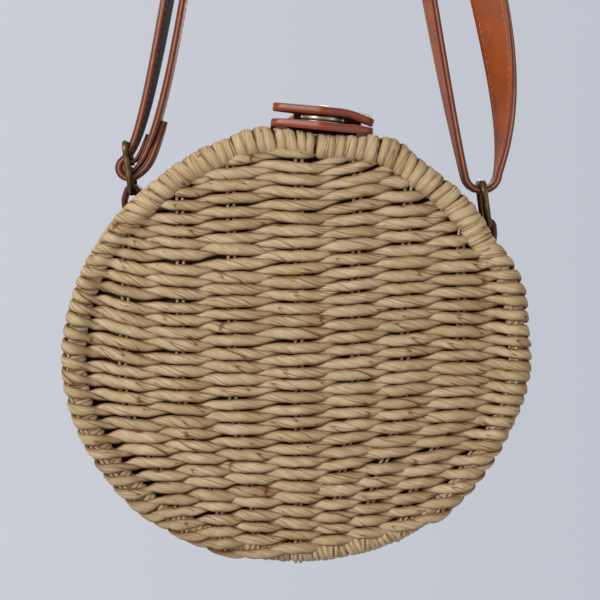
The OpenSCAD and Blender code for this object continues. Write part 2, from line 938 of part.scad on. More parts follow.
module band_sweep(route) {
    last = len(route) - 1;
    corners = 4;
    points = [for (i = [0:last]) each band_ring(route, i)];
    sides = [for (i = [0:last - 1], c = [0:corners - 1])
        let (a = i * corners + c, b = i * corners + (c + 1) % corners)
        each [[a, b, b + corners], [a, b + corners, a + corners]]];
    end = last * corners;
    caps = [[0, 2, 1], [0, 3, 2], [end, end + 1, end + 2], [end, end + 2, end + 3]];
    polyhedron(points, concat(sides, caps), convexity = 10);
}

module shoulder_strap() {
    color(leather_colour)
        as_upright()
            band_sweep(strap_stations);
}

front_rim_wire();
back_rim_wire();
front_stakes();
back_stakes();
gusset_stakes();
front_weave();
back_weave();
gusset_weave();
front_mouth_binding();
back_mouth_binding();
mouth_end_bindings();
lining_bag();
closure_plate();
snap_stud();
stud_rivet();
closure_flap();
snap_socket();
snap_magnet();
socket_rivet();
side_tab_left();
side_tab_right();
tab_rivets();
shoulder_strap();
strap_ring();
strap_slider();
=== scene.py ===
"""Round shoulder bag of twined paper cord, with a leather closure and a doubled leather strap."""
import math

import bmesh
import bpy
import numpy as np
from bpy.props import FloatProperty, FloatVectorProperty, IntProperty, PointerProperty
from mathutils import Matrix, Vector


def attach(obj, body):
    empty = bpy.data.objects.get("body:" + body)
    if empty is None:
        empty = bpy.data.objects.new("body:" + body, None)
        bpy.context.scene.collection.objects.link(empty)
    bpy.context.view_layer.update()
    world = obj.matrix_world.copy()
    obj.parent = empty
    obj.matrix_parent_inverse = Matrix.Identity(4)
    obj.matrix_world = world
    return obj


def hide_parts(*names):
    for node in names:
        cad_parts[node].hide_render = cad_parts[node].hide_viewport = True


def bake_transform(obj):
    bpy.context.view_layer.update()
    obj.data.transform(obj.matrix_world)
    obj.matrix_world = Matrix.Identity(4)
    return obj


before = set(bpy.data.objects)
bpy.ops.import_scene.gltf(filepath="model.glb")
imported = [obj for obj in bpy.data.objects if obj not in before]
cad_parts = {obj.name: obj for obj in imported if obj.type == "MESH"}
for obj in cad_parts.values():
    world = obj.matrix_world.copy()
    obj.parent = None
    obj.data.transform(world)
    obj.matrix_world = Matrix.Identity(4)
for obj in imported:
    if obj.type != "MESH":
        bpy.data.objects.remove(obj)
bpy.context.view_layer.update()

bl_info = {
    "name": "Woven circle bag",
    "version": (1, 0, 0),
    "blender": (4, 5, 0),
    "location": "View3D > Sidebar > Circle bag",
    "description": "Twined round shoulder bag with leather closure, strap and brass hardware",
    "category": "Add Mesh",
}

MM = 0.001
TURN = 2 * math.pi


def linear(code):
    """Linear colour of an sRGB hex value."""
    parts = [int(code[i:i + 2], 16) / 255 for i in (1, 3, 5)]
    return tuple(p / 12.92 if p <= 0.04045 else ((p + 0.055) / 1.055) ** 2.4 for p in parts)


def length(name, description, default, low, high):
    """Property for a length in metres, given in millimetres."""
    return FloatProperty(name=name, description=description, default=default * MM,
                         min=low * MM, max=high * MM, unit="LENGTH", precision=4)


def colour(name, description, code):
    """Property for a colour, given as an sRGB hex value."""
    return FloatVectorProperty(name=name, description=description, default=linear(code),
                               subtype="COLOR", size=3, min=0, max=1)


class WeaveSettings(bpy.types.PropertyGroup):
    """Sizes and colours of the twined walls"""
    row_pitch: length("Row pitch", "Distance between rows of twine", 5.2, 4.6, 7)
    stake_pitch: length("Stake pitch", "Distance between pairs of stakes", 23.5, 18, 30)
    strand: length("Strand width", "Widest part of one strand", 4.7, 3, 6)
    roll: length("Rim roll", "Diameter of the roll inside the rim", 7, 5, 9)
    whip_pitch: length("Whipping pitch", "Width of one wrap along the mouth", 4.1, 2.5, 6)
    seed: IntProperty(name="Seed", description="Start of the hand-made irregularity", default=7, min=0)
    twine: colour("Twine", "Twisted kraft paper", "#b19b74")
    # Pale paper, and also painted light: the tone attribute mixes this colour in on the left side of each
    # lens, where the light falls
    twine_pale_and_lit: colour("Twine, bleached", "Paper where light has faded it", "#d2c0a9")
    # Darker paper, and also painted shade: it is painted into the fold lines and, through the tone attribute,
    # onto the strands' sides and backs and where they pass behind a stake
    twine_dark_and_shade: colour("Twine, folds", "Paper in the folds of its twist", "#66380d")
    wire: colour("Stake wire", "Paper-covered wire between the rows", "#c2ab88")
    # The lining's dark brown stands in part for the shade inside the bag, seen through the gaps between the
    # rows
    lining: colour("Lining", "Cotton inside the bag", "#4a2e1c")


class LeatherSettings(bpy.types.PropertyGroup):
    """Sizes and colours of the closure, tabs and strap"""
    edge: length("Edge rounding", "Rounding of the cut edges", 0.55, 0.2, 1)
    stitch: length("Stitch length", "Length of one stitch", 2.6, 1.5, 5)
    stitch_inset: length("Stitch inset", "Distance of the stitches from the edge", 2, 1.2, 4)
    strap: colour("Strap", "Vegetable-tanned cowhide", "#a04c18")
    strap_dark: colour("Strap, burnished", "Cowhide darkened by handling", "#7a320e")
    edge_paint: colour("Edge paint", "Painted edges of the strap", "#54200f")
    edge_line: colour("Edge seam", "Line between the strap's two plies", "#c2744a")
    tab: colour("Tabs", "Leather of the side tabs", "#744a3c")
    thread: colour("Thread", "Waxed linen thread", "#b08058")


class MetalSettings(bpy.types.PropertyGroup):
    """Colours of the hardware"""
    patina: colour("Patina", "Antique brass, oxidised", "#4a3822")
    worn: colour("Worn brass", "Antique brass rubbed bright", "#8d7448")
    snap: colour("Snap", "Nickel-brass of the magnetic snap", "#f0e4c8")
    magnet: colour("Magnet", "Pressed ferrite", "#3a393b")


# Sizes of the solids that the pieces below stand for, in millimetres from the bag's middle

BAG_W, BAG_H, RIM_GAP, BOW = 190.0, 176.0, 58.0, 9.0
ROLL_R, MOUTH_ANGLE, LEAN, HANG_H, CROWN_X = 4.0, 36.0, 5.5, 380.0, 2.0
# Play between a piece and what carries it
SEAT = 0.25
RIM_Y = RIM_GAP / 2
# The oval has two side arcs and two flatter ones, whose middles lie this far off the bag's middle
ARC_SHIFT = (BAG_W - BAG_H) / 2 / (2 - math.sqrt(2))
SIDE_R, TOP_R = BAG_W / 2 - ARC_SHIFT, BAG_H / 2 + ARC_SHIFT
BOW_R = (((BAG_W + BAG_H) / 4 - ROLL_R) ** 2 + BOW ** 2) / (2 * BOW)
SIN_LEAN, COS_LEAN = math.sin(math.radians(LEAN)), math.cos(math.radians(LEAN))


# Points and directions


def xyz(x, y, z):
    """Points from their coordinates, each one a number or an array."""
    return np.stack(np.broadcast_arrays(x, y, z), -1)


def apart(points):
    """The coordinates of points, each as an array."""
    return np.moveaxis(np.asarray(points, float), -1, 0)


def unit(vectors):
    """Vectors with their lengths made 1."""
    return vectors / (np.linalg.norm(vectors, axis=-1, keepdims=True) + 1e-9)


def run_along(path):
    """Distance along a path to each of its points."""
    return np.concatenate([[0], np.cumsum(np.linalg.norm(np.diff(path, axis=0), axis=1))])


def circle(count):
    """Angles of even places round a circle."""
    return np.arange(count) / count * TURN


def outward(degrees):
    """Directions in the rim's plane."""
    a = np.radians(degrees)
    return xyz(np.cos(a), 0, np.sin(a))


def polar(centre, r, degrees):
    """Points on a circle."""
    a = np.radians(degrees)
    return np.asarray(centre) + r * np.stack([np.cos(a), np.sin(a)], -1)


def from_ends(count):
    """Number of steps from each place in a row to the row's nearer end."""
    return np.minimum(np.arange(count), np.arange(count)[::-1])


def smooth(value, low, high):
    """Even rise from 0 at low to 1 at high."""
    t = np.clip((value - low) / (high - low), 0, 1)
    return t * t * (3 - 2 * t)


def drift(rng, at, span, size):
    """Slow random change along a length."""
    knots = rng.normal(0, 1, int(np.ptp(at) / span) + 4)
    return size * np.interp((at - at.min()) / span, np.arange(len(knots)), knots)


# The bag's form


def upright(points):
    """Points measured from the bag's middle, in metres from the hanging point."""
    return (np.asarray(points, float) - [CROWN_X, 0, HANG_H]) * MM


def leaned(points):
    """Points of the bag, which leans as it hangs, seen upright."""
    x, y, z = apart(points)
    return xyz(x * COS_LEAN + z * SIN_LEAN, y, z * COS_LEAN - x * SIN_LEAN)


def hung(points):
    """Points of the bag without its lean, in metres as it hangs."""
    return upright(leaned(points))


# Swells and hollows of the hand-made outline: millimetres outward, direction and spread in degrees
SWELLS = ((-3.8, 140, 24), (-1.6, 168, 14), (1.7, 222, 22), (3.6, 65, 7), (-2.2, 29, 8),
          (-2.4, -28, 20), (-1.2, 5, 7), (-2.2, 83, 8), (1.6, 101, 5))
# Distance from the middle at which a swell has its full size
SWELL_R = 90


def swelled(points, share=1.0):
    """Places on the leaning bag moved to its uneven outline."""
    x, y, z = apart(points)
    r, degrees = np.hypot(x, z), np.degrees(np.arctan2(z, x))
    swell = sum(size * np.exp(-(((degrees - at + 180) % 360 - 180) / spread) ** 2)
                for size, at, spread in SWELLS)
    grown = 1 + share * swell / SWELL_R * np.clip(r / SWELL_R, 0, 1) ** 3
    return xyz(x * grown, y, z * grown)


def handmade(points):
    """The woven shell with its uneven outline, in metres."""
    return upright(swelled(points))


def bow_at(r):
    """Height of the bowed panel over the rim's plane."""
    return np.sqrt(BOW_R ** 2 - r ** 2) - (BOW_R - BOW)


def oval_inset(x, z):
    """Distance inside the oval, outward direction and angle of each point."""
    side = np.abs(x) > np.abs(z) + ARC_SHIFT
    cx = np.where(side, np.sign(x) * ARC_SHIFT, 0)
    cz = np.where(side, 0, -np.sign(z) * ARC_SHIFT)
    r = np.hypot(x - cx, z - cz) + 1e-9
    out_x, out_z = (x - cx) / r, (z - cz) / r
    return np.where(side, SIDE_R, TOP_R) - r, out_x, out_z, np.degrees(np.arctan2(out_z, out_x))


def oval_points(degrees, inset):
    """Points on the oval, drawn in by inset, where its outward direction has these angles."""
    a = np.radians(degrees)
    c, s = np.cos(a), np.sin(a)
    side = np.abs(c) > np.abs(s)
    r = np.where(side, SIDE_R, TOP_R) - inset
    x = np.where(side, np.sign(c) * ARC_SHIFT, 0) + r * c
    return x, np.where(side, 0, -np.sign(s) * ARC_SHIFT) + r * s


def along_oval(start, end, step):
    """Angles of even steps along the oval from one angle to another, and their distances."""
    fine = np.linspace(start, end, 2000)
    run = run_along(np.stack(oval_points(fine, ROLL_R), -1))
    at = np.linspace(0, run[-1], max(2, int(run[-1] / step)))
    return np.interp(at, run, fine), at


# Mesh making


class Tubes:
    """Collects swept strands into one mesh, with lengths as UVs and a tone for each point"""

    def __init__(self):
        self.points, self.faces, self.uvs, self.tones, self.slots = [], [], [], [], []
        self.count = 0

    def sweep(self, rings, run, tone, closed=True, caps=True, slots=None):
        """Adds a skin over rings of points, shaped (stations, sides, 3), run millimetres long."""
        n, m = rings.shape[:2]
        index = self.count + np.arange(n * m).reshape(n, m)
        around = m if closed else m - 1
        a, b = index[:-1, :around], np.roll(index, -1, 1)[:-1, :around]
        quads = np.stack([a, b, b + m, a + m], -1).reshape(-1, 4)
        uv = np.stack(np.broadcast_arrays(np.asarray(run)[:, None], np.arange(m + 1) / m), -1)
        corners = np.stack([uv[:-1, :around], uv[:-1, 1:around + 1],
                            uv[1:, 1:around + 1], uv[1:, :around]], 2)
        self.points.append(rings.reshape(-1, 3))
        self.faces += quads.tolist()
        self.uvs.append(corners.reshape(-1, 2))
        self.slots += list(slots) * (n - 1) if slots is not None else [0] * len(quads)
        if caps and closed:
            self.faces += [index[0, ::-1].tolist(), index[-1].tolist()]
            self.uvs += [uv[0, :m][::-1], uv[-1, :m]]
            self.slots += [0, 0]
        tone = np.asarray(tone, float)
        tone = tone if tone.ndim == 2 else tone.reshape(-1, 1)
        self.tones.append(np.broadcast_to(tone, (n, m)).ravel())
        self.count += n * m

    def build(self, name, place, *finishes):
        """Makes the object in these materials; place turns the collected points into metres."""
        mesh = bpy.data.meshes.new(name)
        mesh.from_pydata(place(np.concatenate(self.points)), [], self.faces)
        layer = mesh.uv_layers.new(name="lengths")
        layer.data.foreach_set("uv", np.concatenate(self.uvs).astype(np.float32).ravel())
        tone = mesh.attributes.new("tone", "FLOAT", "POINT")
        tone.data.foreach_set("value", np.concatenate(self.tones).astype(np.float32))
        for finish in finishes:
            mesh.materials.append(MATERIALS[finish])
        mesh.polygons.foreach_set("material_index", self.slots)
        mesh.polygons.foreach_set("use_smooth", [True] * len(self.faces))
        whole = bmesh.new()
        whole.from_mesh(mesh)
        bmesh.ops.recalc_face_normals(whole, faces=whole.faces)
        whole.to_mesh(mesh)
        whole.free()
        mesh.update()
        piece = bpy.data.objects.new(name, mesh)
        bpy.context.scene.collection.objects.link(piece)
        return piece


def settle(piece, body, solid):
    """Puts a piece on its body and hides the solid whose place it takes."""
    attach(piece, body)
    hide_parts(solid)


def frames(path, up):
    """Directions across and up at each point of a path; up is a guide."""
    along = unit(np.gradient(path, axis=0))
    across = unit(np.cross(along, up))
    return across, np.cross(across, along)


def strand_rings(path, up, half_w, half_t, roll, twist, rng, sides):
    """Rings of a soft flat strand: half width, half thickness and roll at each station."""
    across, raised = frames(path, up)
    run = run_along(path)
    a = circle(sides)
    # Three shallow lobes and a slight flattening wind along the strand
    lobes = 1 + 0.055 * np.cos(3 * a + (run / twist + rng.random())[:, None] * TURN) \
        + 0.035 * np.cos(2 * a - (run / twist * 1.7 + rng.random())[:, None] * TURN)
    w = np.cos(a) * lobes * np.asarray(half_w)[:, None]
    t = np.sin(a) * lobes * np.asarray(half_t)[:, None]
    c, s = np.cos(roll)[:, None], np.sin(roll)[:, None]
    x, y = (w * c - t * s)[..., None], (w * s + t * c)[..., None]
    return path[:, None] + x * across[:, None] + y * raised[:, None], run


# Materials, whose patterns on the object are scaled by how many features they have in a millimetre

# Scale of a wave texture whose bands lie one metre apart
BANDS = 0.314
# Fields of a node that mixes two colours, and of one that multiplies them
MIXED = {"data_type": "RGBA"}
MULTIPLIED = {"data_type": "RGBA", "blend_type": "MULTIPLY"}


def node(tree, kind, inputs=None, settings=None, stops=()):
    """Adds a shader node: its inputs as values or as what they link to, its fields and its colour stops."""
    made = tree.nodes.new("ShaderNode" + kind)
    for key, value in (settings or {}).items():
        setattr(made, key, value)
    for key, value in (inputs or {}).items():
        if isinstance(value, bpy.types.Node):
            value = value.outputs[0]
        if isinstance(value, bpy.types.NodeSocket):
            tree.links.new(value, made.inputs[key])
        else:
            made.inputs[key].default_value = value
    if stops:
        elements = made.color_ramp.elements
        while len(elements) < len(stops):
            elements.new(0.5)
        for element, (place, shade) in zip(elements, stops):
            element.position, element.color = place, (*shade, 1)
    return made


def new_material(name):
    """An empty material and its node tree."""
    material = bpy.data.materials.new(name)
    material.use_nodes = True
    tree = material.node_tree
    tree.nodes.clear()
    return material, tree


def surface(tree, height, strength, depth_mm, inputs):
    """Ends a material with its shader, over bumps of this height, strength and depth."""
    bump = node(tree, "Bump", {"Height": height, "Strength": strength, "Distance": depth_mm * MM})
    shader = node(tree, "BsdfPrincipled", {**inputs, "Normal": bump})
    node(tree, "OutputMaterial", {"Surface": shader})


def twisted_paper(name, base, light, dark, slant):
    """Kraft paper twisted into soft cord: matt, with slanting fibres, a few fold lines painted dark as shade,
    and painted shade and light from its tone attribute.
    """
    material, tree = new_material(name)
    place = node(tree, "TexCoord").outputs["Object"]
    uv = node(tree, "UVMap", None, {"uv_map": "lengths"})
    tone = node(tree, "Attribute", None, {"attribute_name": "tone"}).outputs["Fac"]
    # Lengths in millimetres and the cord's girth of 12 mm, turned so that the first axis runs along the twist
    turned = node(tree, "Mapping", {"Vector": uv, "Scale": (1, 12, 1), "Rotation": (0, 0, slant)})
    drawn = node(tree, "Mapping", {"Vector": turned, "Scale": (0.1, 1.9, 1)})
    fibres = node(tree, "TexNoise", {"Vector": drawn, "Scale": 1.0, "Detail": 5.0, "Roughness": 0.62})
    folded = node(tree, "Mapping", {"Vector": turned, "Scale": (0.032, 0.36, 1), "Location": (3.1, 7.7, 0)})
    folds = node(tree, "TexNoise", {"Vector": folded, "Scale": 1.0, "Detail": 0.6, "Roughness": 0.5})
    # A fold shows where the wide noise crosses its middle, as one thin line
    off = node(tree, "Math", {0: folds, 1: 0.5}, {"operation": "SUBTRACT"})
    line = node(tree, "Math", {0: off}, {"operation": "ABSOLUTE"})
    unfolded = node(tree, "MapRange", {"Value": line, "From Max": 0.018})
    blotch = node(tree, "TexNoise", {"Vector": place, "Scale": 0.12 / MM, "Detail": 4.0, "Roughness": 0.6})
    mixed = node(tree, "Math", {0: blotch, 1: 0.5, 2: fibres}, {"operation": "MULTIPLY_ADD"})
    dull = tuple(0.4 * d + 0.6 * b for d, b in zip(dark, base))
    shade = node(tree, "ValToRGB", {"Fac": mixed}, stops=[(0.46, dull), (0.72, base), (1.04, light)])
    # The fold lines are painted in the dark colour: painted shade in the creases
    fold_shaded = node(tree, "Mix", {"Factor": unfolded, 6: (*dark, 1), 7: shade}, MIXED)
    # A tone of 0.5 is plain; below it the colour goes towards the dark as painted shade, and above it towards
    # the pale as painted light and random tone
    shade_share = node(tree, "MapRange", {"Value": tone, "From Max": 0.5})
    shaded_paper = node(tree, "Mix", {"Factor": shade_share, 6: (*dark, 1), 7: fold_shaded.outputs[2]}, MIXED)
    pale = node(tree, "MapRange", {"Value": tone, "From Min": 0.5})
    shaded_and_lit_paper = node(tree, "Mix", {"Factor": pale, 6: shaded_paper.outputs[2], 7: (*light, 1)}, MIXED)
    depth = node(tree, "Math", {0: unfolded, 1: 0.6, 2: fibres}, {"operation": "MULTIPLY_ADD"})
    surface(tree, depth, 0.32, 0.6,
            {"Base Color": shaded_and_lit_paper.outputs[2], "Roughness": 0.68, "IOR": 1.5, "Specular IOR Level": 0.25})
    return material


def covered_wire(name, base):
    """Iron wire wound with thin paper: dull, with fine turns about a millimetre apart."""
    material, tree = new_material(name)
    place = node(tree, "TexCoord").outputs["Object"]
    wound = node(tree, "TexWave", {"Vector": place, "Scale": BANDS / MM, "Distortion": 1.0},
                 {"bands_direction": "Z"})
    turns = wound.outputs["Fac"]
    shade = node(tree, "ValToRGB", {"Fac": turns}, stops=[(0.0, tuple(0.6 * c for c in base)), (0.7, base)])
    surface(tree, turns, 0.5, 0.2,
            {"Base Color": shade, "Roughness": 0.8, "IOR": 1.5, "Specular IOR Level": 0.25})
    return material


def cowhide(name, base, dark, grain_mm=0.45):
    """Vegetable-tanned cowhide: fine pebbled grain, slightly glossy, darker where it was handled.

    Its tone attribute paints shade, dark and dull: on the strap's side that faces the next band, and on the
    closure's underside and top."""
    material, tree = new_material(name)
    place = node(tree, "TexCoord").outputs["Object"]
    # The tone attribute gives the share of painted shade
    rubbed = node(tree, "Attribute", None, {"attribute_name": "tone"}).outputs["Fac"]
    grain = node(tree, "TexVoronoi", {"Vector": place, "Scale": 1 / (grain_mm * MM), "Smoothness": 0.6},
                 {"feature": "SMOOTH_F1"})
    pores = node(tree, "TexNoise", {"Vector": place, "Scale": 1.1 / MM, "Detail": 4.0, "Roughness": 0.7})
    clouds = node(tree, "TexNoise", {"Vector": place, "Scale": 0.055 / MM, "Detail": 4.0, "Roughness": 0.55})
    shade = node(tree, "ValToRGB", {"Fac": clouds}, stops=[(0.3, dark), (0.62, base)])
    speck = node(tree, "ValToRGB", {"Fac": pores}, stops=[(0.35, (0.55, 0.5, 0.45)), (0.6, (1, 1, 1))])
    speckled = node(tree, "Mix", {"Factor": 0.35, 6: shade, 7: speck}, MULTIPLIED)
    height = node(tree, "Math", {0: grain, 1: pores}, {"operation": "ADD"})
    # Painted shade: the colour is multiplied towards near black by the tone
    shade_colour = (0.08, 0.06, 0.08, 1)
    shaded_hide = node(tree, "Mix", {"Factor": rubbed, 6: speckled.outputs[2], 7: shade_colour}, MULTIPLIED)
    sheen = node(tree, "MapRange", {"Value": rubbed, "To Min": 0.35, "To Max": 0.02})
    surface(tree, height, 0.28, 0.25, {"Base Color": shaded_hide.outputs[2], "Specular IOR Level": sheen,
                                       "Roughness": 0.5, "IOR": 1.45})
    return material


def painted_edge(name, paint, line):
    """Cut edge of two plies, painted: satin, with the seam between the plies as a light line."""
    material, tree = new_material(name)
    place = node(tree, "TexCoord").outputs["Object"]
    tone = node(tree, "Attribute", None, {"attribute_name": "tone"}).outputs["Fac"]
    wear = node(tree, "TexNoise", {"Vector": place, "Scale": 0.26 / MM, "Detail": 5.0, "Roughness": 0.7})
    # The tone draws the light line: the seam between the plies on the strap, and painted light on the left of
    # the closure's edges
    seam = node(tree, "Math", {0: wear, 1: 0.3, 2: tone}, {"operation": "MULTIPLY_ADD"})
    shade = node(tree, "ValToRGB", {"Fac": seam}, stops=[(0.46, paint), (0.84, line)])
    surface(tree, wear, 0.2, 0.2, {"Base Color": shade, "Roughness": 0.38, "IOR": 1.5})
    return material


def antique_brass(name, patina, worn, rough=0.36):
    """Brass with a brown patina that is rubbed bright in patches: metallic and softly glossy."""
    material, tree = new_material(name)
    place = node(tree, "TexCoord").outputs["Object"]
    patches = node(tree, "TexNoise", {"Vector": place, "Scale": 0.16 / MM, "Detail": 6.0, "Roughness": 0.65})
    scratches = node(tree, "TexNoise", {"Vector": place, "Scale": 1.5 / MM, "Detail": 2.0})
    shade = node(tree, "ValToRGB", {"Fac": patches}, stops=[(0.4, patina), (0.72, worn)])
    polish = node(tree, "MapRange", {"Value": patches, "To Min": rough + 0.16, "To Max": rough - 0.08})
    surface(tree, scratches, 0.12, 0.1, {"Base Color": shade, "Roughness": polish, "Metallic": 1.0})
    return material


def plain_surface(name, base, rough, weave_mm=None, metallic=0.0):
    """Cloth, thread or ferrite: one colour with a fine broken surface, woven where a thread size is given."""
    material, tree = new_material(name)
    place = node(tree, "TexCoord").outputs["Object"]
    speckle = node(tree, "TexNoise", {"Vector": place, "Scale": 0.7 / MM, "Detail": 4.0})
    height = speckle
    if weave_mm:
        # Threads this fine barely show, so each drawn thread stands for two
        warp, weft = (node(tree, "TexWave", {"Vector": place, "Scale": BANDS / (weave_mm * MM)},
                           {"bands_direction": axis}) for axis in "XZ")
        height = node(tree, "Math", {0: warp.outputs["Fac"], 1: weft.outputs["Fac"]},
                      {"operation": "MULTIPLY"})
    shade = node(tree, "ValToRGB", {"Fac": speckle},
                 stops=[(0.3, tuple(0.7 * c for c in base)), (0.7, tuple(min(1, 1.15 * c) for c in base))])
    surface(tree, height, 0.4, 0.2,
            {"Base Color": shade, "Roughness": rough, "IOR": 1.5, "Metallic": metallic})
    return material


MATERIALS = {}


def make_materials(scene):
    """Makes every finish once, from the settings."""
    weave, leather, metal = scene.bag_weave, scene.bag_leather, scene.bag_metal
    pale, folds, snap = weave.twine_pale_and_lit[:], weave.twine_dark_and_shade[:], metal.snap[:]
    hide, burnished = leather.strap[:], leather.strap_dark[:]
    MATERIALS.update(
        twine=twisted_paper("Kraft paper cord, twined", weave.twine[:], pale, folds, 0.34),
        binding=twisted_paper("Kraft paper cord, whipped", tuple(1.12 * c for c in weave.twine),
                              pale, folds, 0.12),
        wire=covered_wire("Iron wire, paper-covered", weave.wire[:]),
        strap=cowhide("Cowhide, vegetable-tanned", hide, burnished),
        edge=painted_edge("Cowhide edge, painted", leather.edge_paint[:], leather.edge_line[:]),
        # On the closure's cut edge the lighter strap colour is painted light, on its left half
        cut=painted_edge("Cowhide edge, burnished", burnished, hide),
        tab=cowhide("Cowhide, pull-up", leather.tab[:], burnished, 0.4),
        brass=antique_brass("Brass, antiqued", metal.patina[:], metal.worn[:]),
        snap=antique_brass("Nickel brass, aged", tuple(0.8 * c for c in snap), snap, 0.34),
        magnet=plain_surface("Ferrite, pressed", metal.magnet[:], 0.6, metallic=0.2),
        cotton=plain_surface("Cotton drill, woven", weave.lining[:], 0.9, 0.7),
        thread=plain_surface("Linen thread, waxed", leather.thread[:], 0.6),
    )


# Twined walls

# Columns of stakes at mid height, seen upright, with the hand-made spread of the real ones
COLUMN_SHARES = [-5.05, -4.05, -3.02, -2.02, -1.12, 0.03, 1.0, 1.86, 2.84, 3.78, 4.75]
COLUMN_NUMBERS = np.arange(len(COLUMN_SHARES)) - 5.0
# Radius of a stake's wire, and half the distance between the two wires of a pair
WIRE_R, PAIR_HALF = 0.68, 1.3
# How far the twine rides outside the rim's roll
TWINE_RIDE = 1.0


def fan(z):
    """Share of their spread that the columns keep at a height; they draw in at the foot."""
    return 1 - 0.36 * smooth(-z, 12, 78) + 0.03 * smooth(z, 20, 80)


def column_phase(x, z, pitch):
    """Number of the stake column at each point, counted along a row."""
    return np.interp(x / fan(z) / pitch, COLUMN_SHARES, COLUMN_NUMBERS)


def row_height(x, middle):
    """Height of a row: it rises to the right, levels at the edge, and the rows spread apart at the left."""
    # How far each point lies beyond the places where the left, the right and the right edge begin
    left, right, edge = (np.clip(way, 0, None) for way in (-x - 40, x - 4, x - 50))
    spread = 50 * math.tanh((middle + 42) / 50)
    slope = 0.08 + 0.0009 * min(max(-middle - 10, 0), 50)
    level = 0.0026 - 6e-5 * min(max(middle, 0), 60)
    return middle + 0.105 * x + 9.0e-5 * spread * left ** 2 + slope * right - level * edge ** 2


def wall_place(x, z, side, roll_r):
    """Middle of the woven wall seen upright, its outward direction, and the distance inside the oval."""
    bx, bz = x * COS_LEAN - z * SIN_LEAN, x * SIN_LEAN + z * COS_LEAN
    inset, out_x, out_z, angle = oval_inset(bx, bz)
    ride = roll_r + TWINE_RIDE
    theta = np.clip((ROLL_R - inset) / ride, 0, None)
    depth = RIM_Y + bow_at(np.minimum(np.hypot(bx, bz), BAG_W / 2))
    lift = smooth(-inset, -11, -ROLL_R)
    over = depth * (1 - lift) + (RIM_Y + ride) * lift
    wrapped = inset < ROLL_R
    y = np.where(wrapped, RIM_Y + ride * np.cos(theta), over)
    shift = inset - np.where(wrapped, ROLL_R - ride * np.sin(theta), inset)
    normal = leaned(xyz(out_x * np.sin(theta), -side * np.cos(theta), out_z * np.sin(theta)))
    return leaned(xyz(bx + out_x * shift, -side * y, bz + out_z * shift)), normal, inset, angle


def side_shade(sides, depth):
    """Share of tone left round a strand, as painted shade: least where it touches the rows beside it and on
    its back.
    """
    a = circle(sides)
    return (1 - depth * np.abs(np.cos(a)) ** 3 - 0.5 * depth * np.clip(-np.sin(a), 0, 1))[None]


def twine_row(tubes, centre, normal, phase, half_w, rng, near_rim, hole, side=1, full=1.0):
    """Two strands that twist round the stakes along one row, flatter near the rim and thin at a hole."""
    at = phase * 20
    jitter = drift(rng, at, 17, 0.14)
    up = np.cross(normal, unit(np.gradient(centre, axis=0))) * side
    for strand in (0, 1):
        turn = math.pi * (phase + strand)
        # 1 where the strand passes before a stake, and 0 where it passes behind
        front = 0.5 + 0.5 * np.cos(turn)
        out = np.cos(turn) * (1.8 - 1.0 * near_rim) - 0.1
        slip = -np.sin(turn) * np.abs(np.sin(turn)) ** 0.9 * (1.3 - 0.4 * near_rim) * (1 - 0.5 * hole)
        width = full * half_w * (0.56 + 0.46 * smooth(front, 0.35, 0.9)) * (1 - 0.25 * hole) \
            * (1 + drift(rng, at, 21, 0.07))
        thick = full * (0.95 + 0.6 * front - 0.3 * near_rim)
        path = centre + normal * out[:, None] + up * (slip + jitter)[:, None]
        roll = 0.2 * np.sin(turn) + drift(rng, at, 9, 0.07)
        rings, run = strand_rings(path, normal, width, thick, roll, 9.5, rng, 12)
        # The tone: a random share for each strand, with painted light on the left side of each lens and
        # painted shade where the strand passes behind a stake, times painted shade at its sides and back
        lens = 0.52 + 0.04 * rng.normal() + drift(rng, at, 20, 0.04) - 0.07 * np.sin(turn) \
            - 0.2 * smooth(0.6 - front, 0, 0.5)
        # Each strand starts elsewhere on the paper's pattern
        run = run + rng.random() * 900
        tubes.sweep(rings, run, np.clip(lens, 0, 0.8)[:, None] * side_shade(12, 0.85))


def stake_wire(tubes, path, guide, rng):
    """One paper-covered wire along a path."""
    r = np.full(len(path), WIRE_R)
    tubes.sweep(*strand_rings(path, guide, r, r, 0 * r, 40, rng, 6), 0)


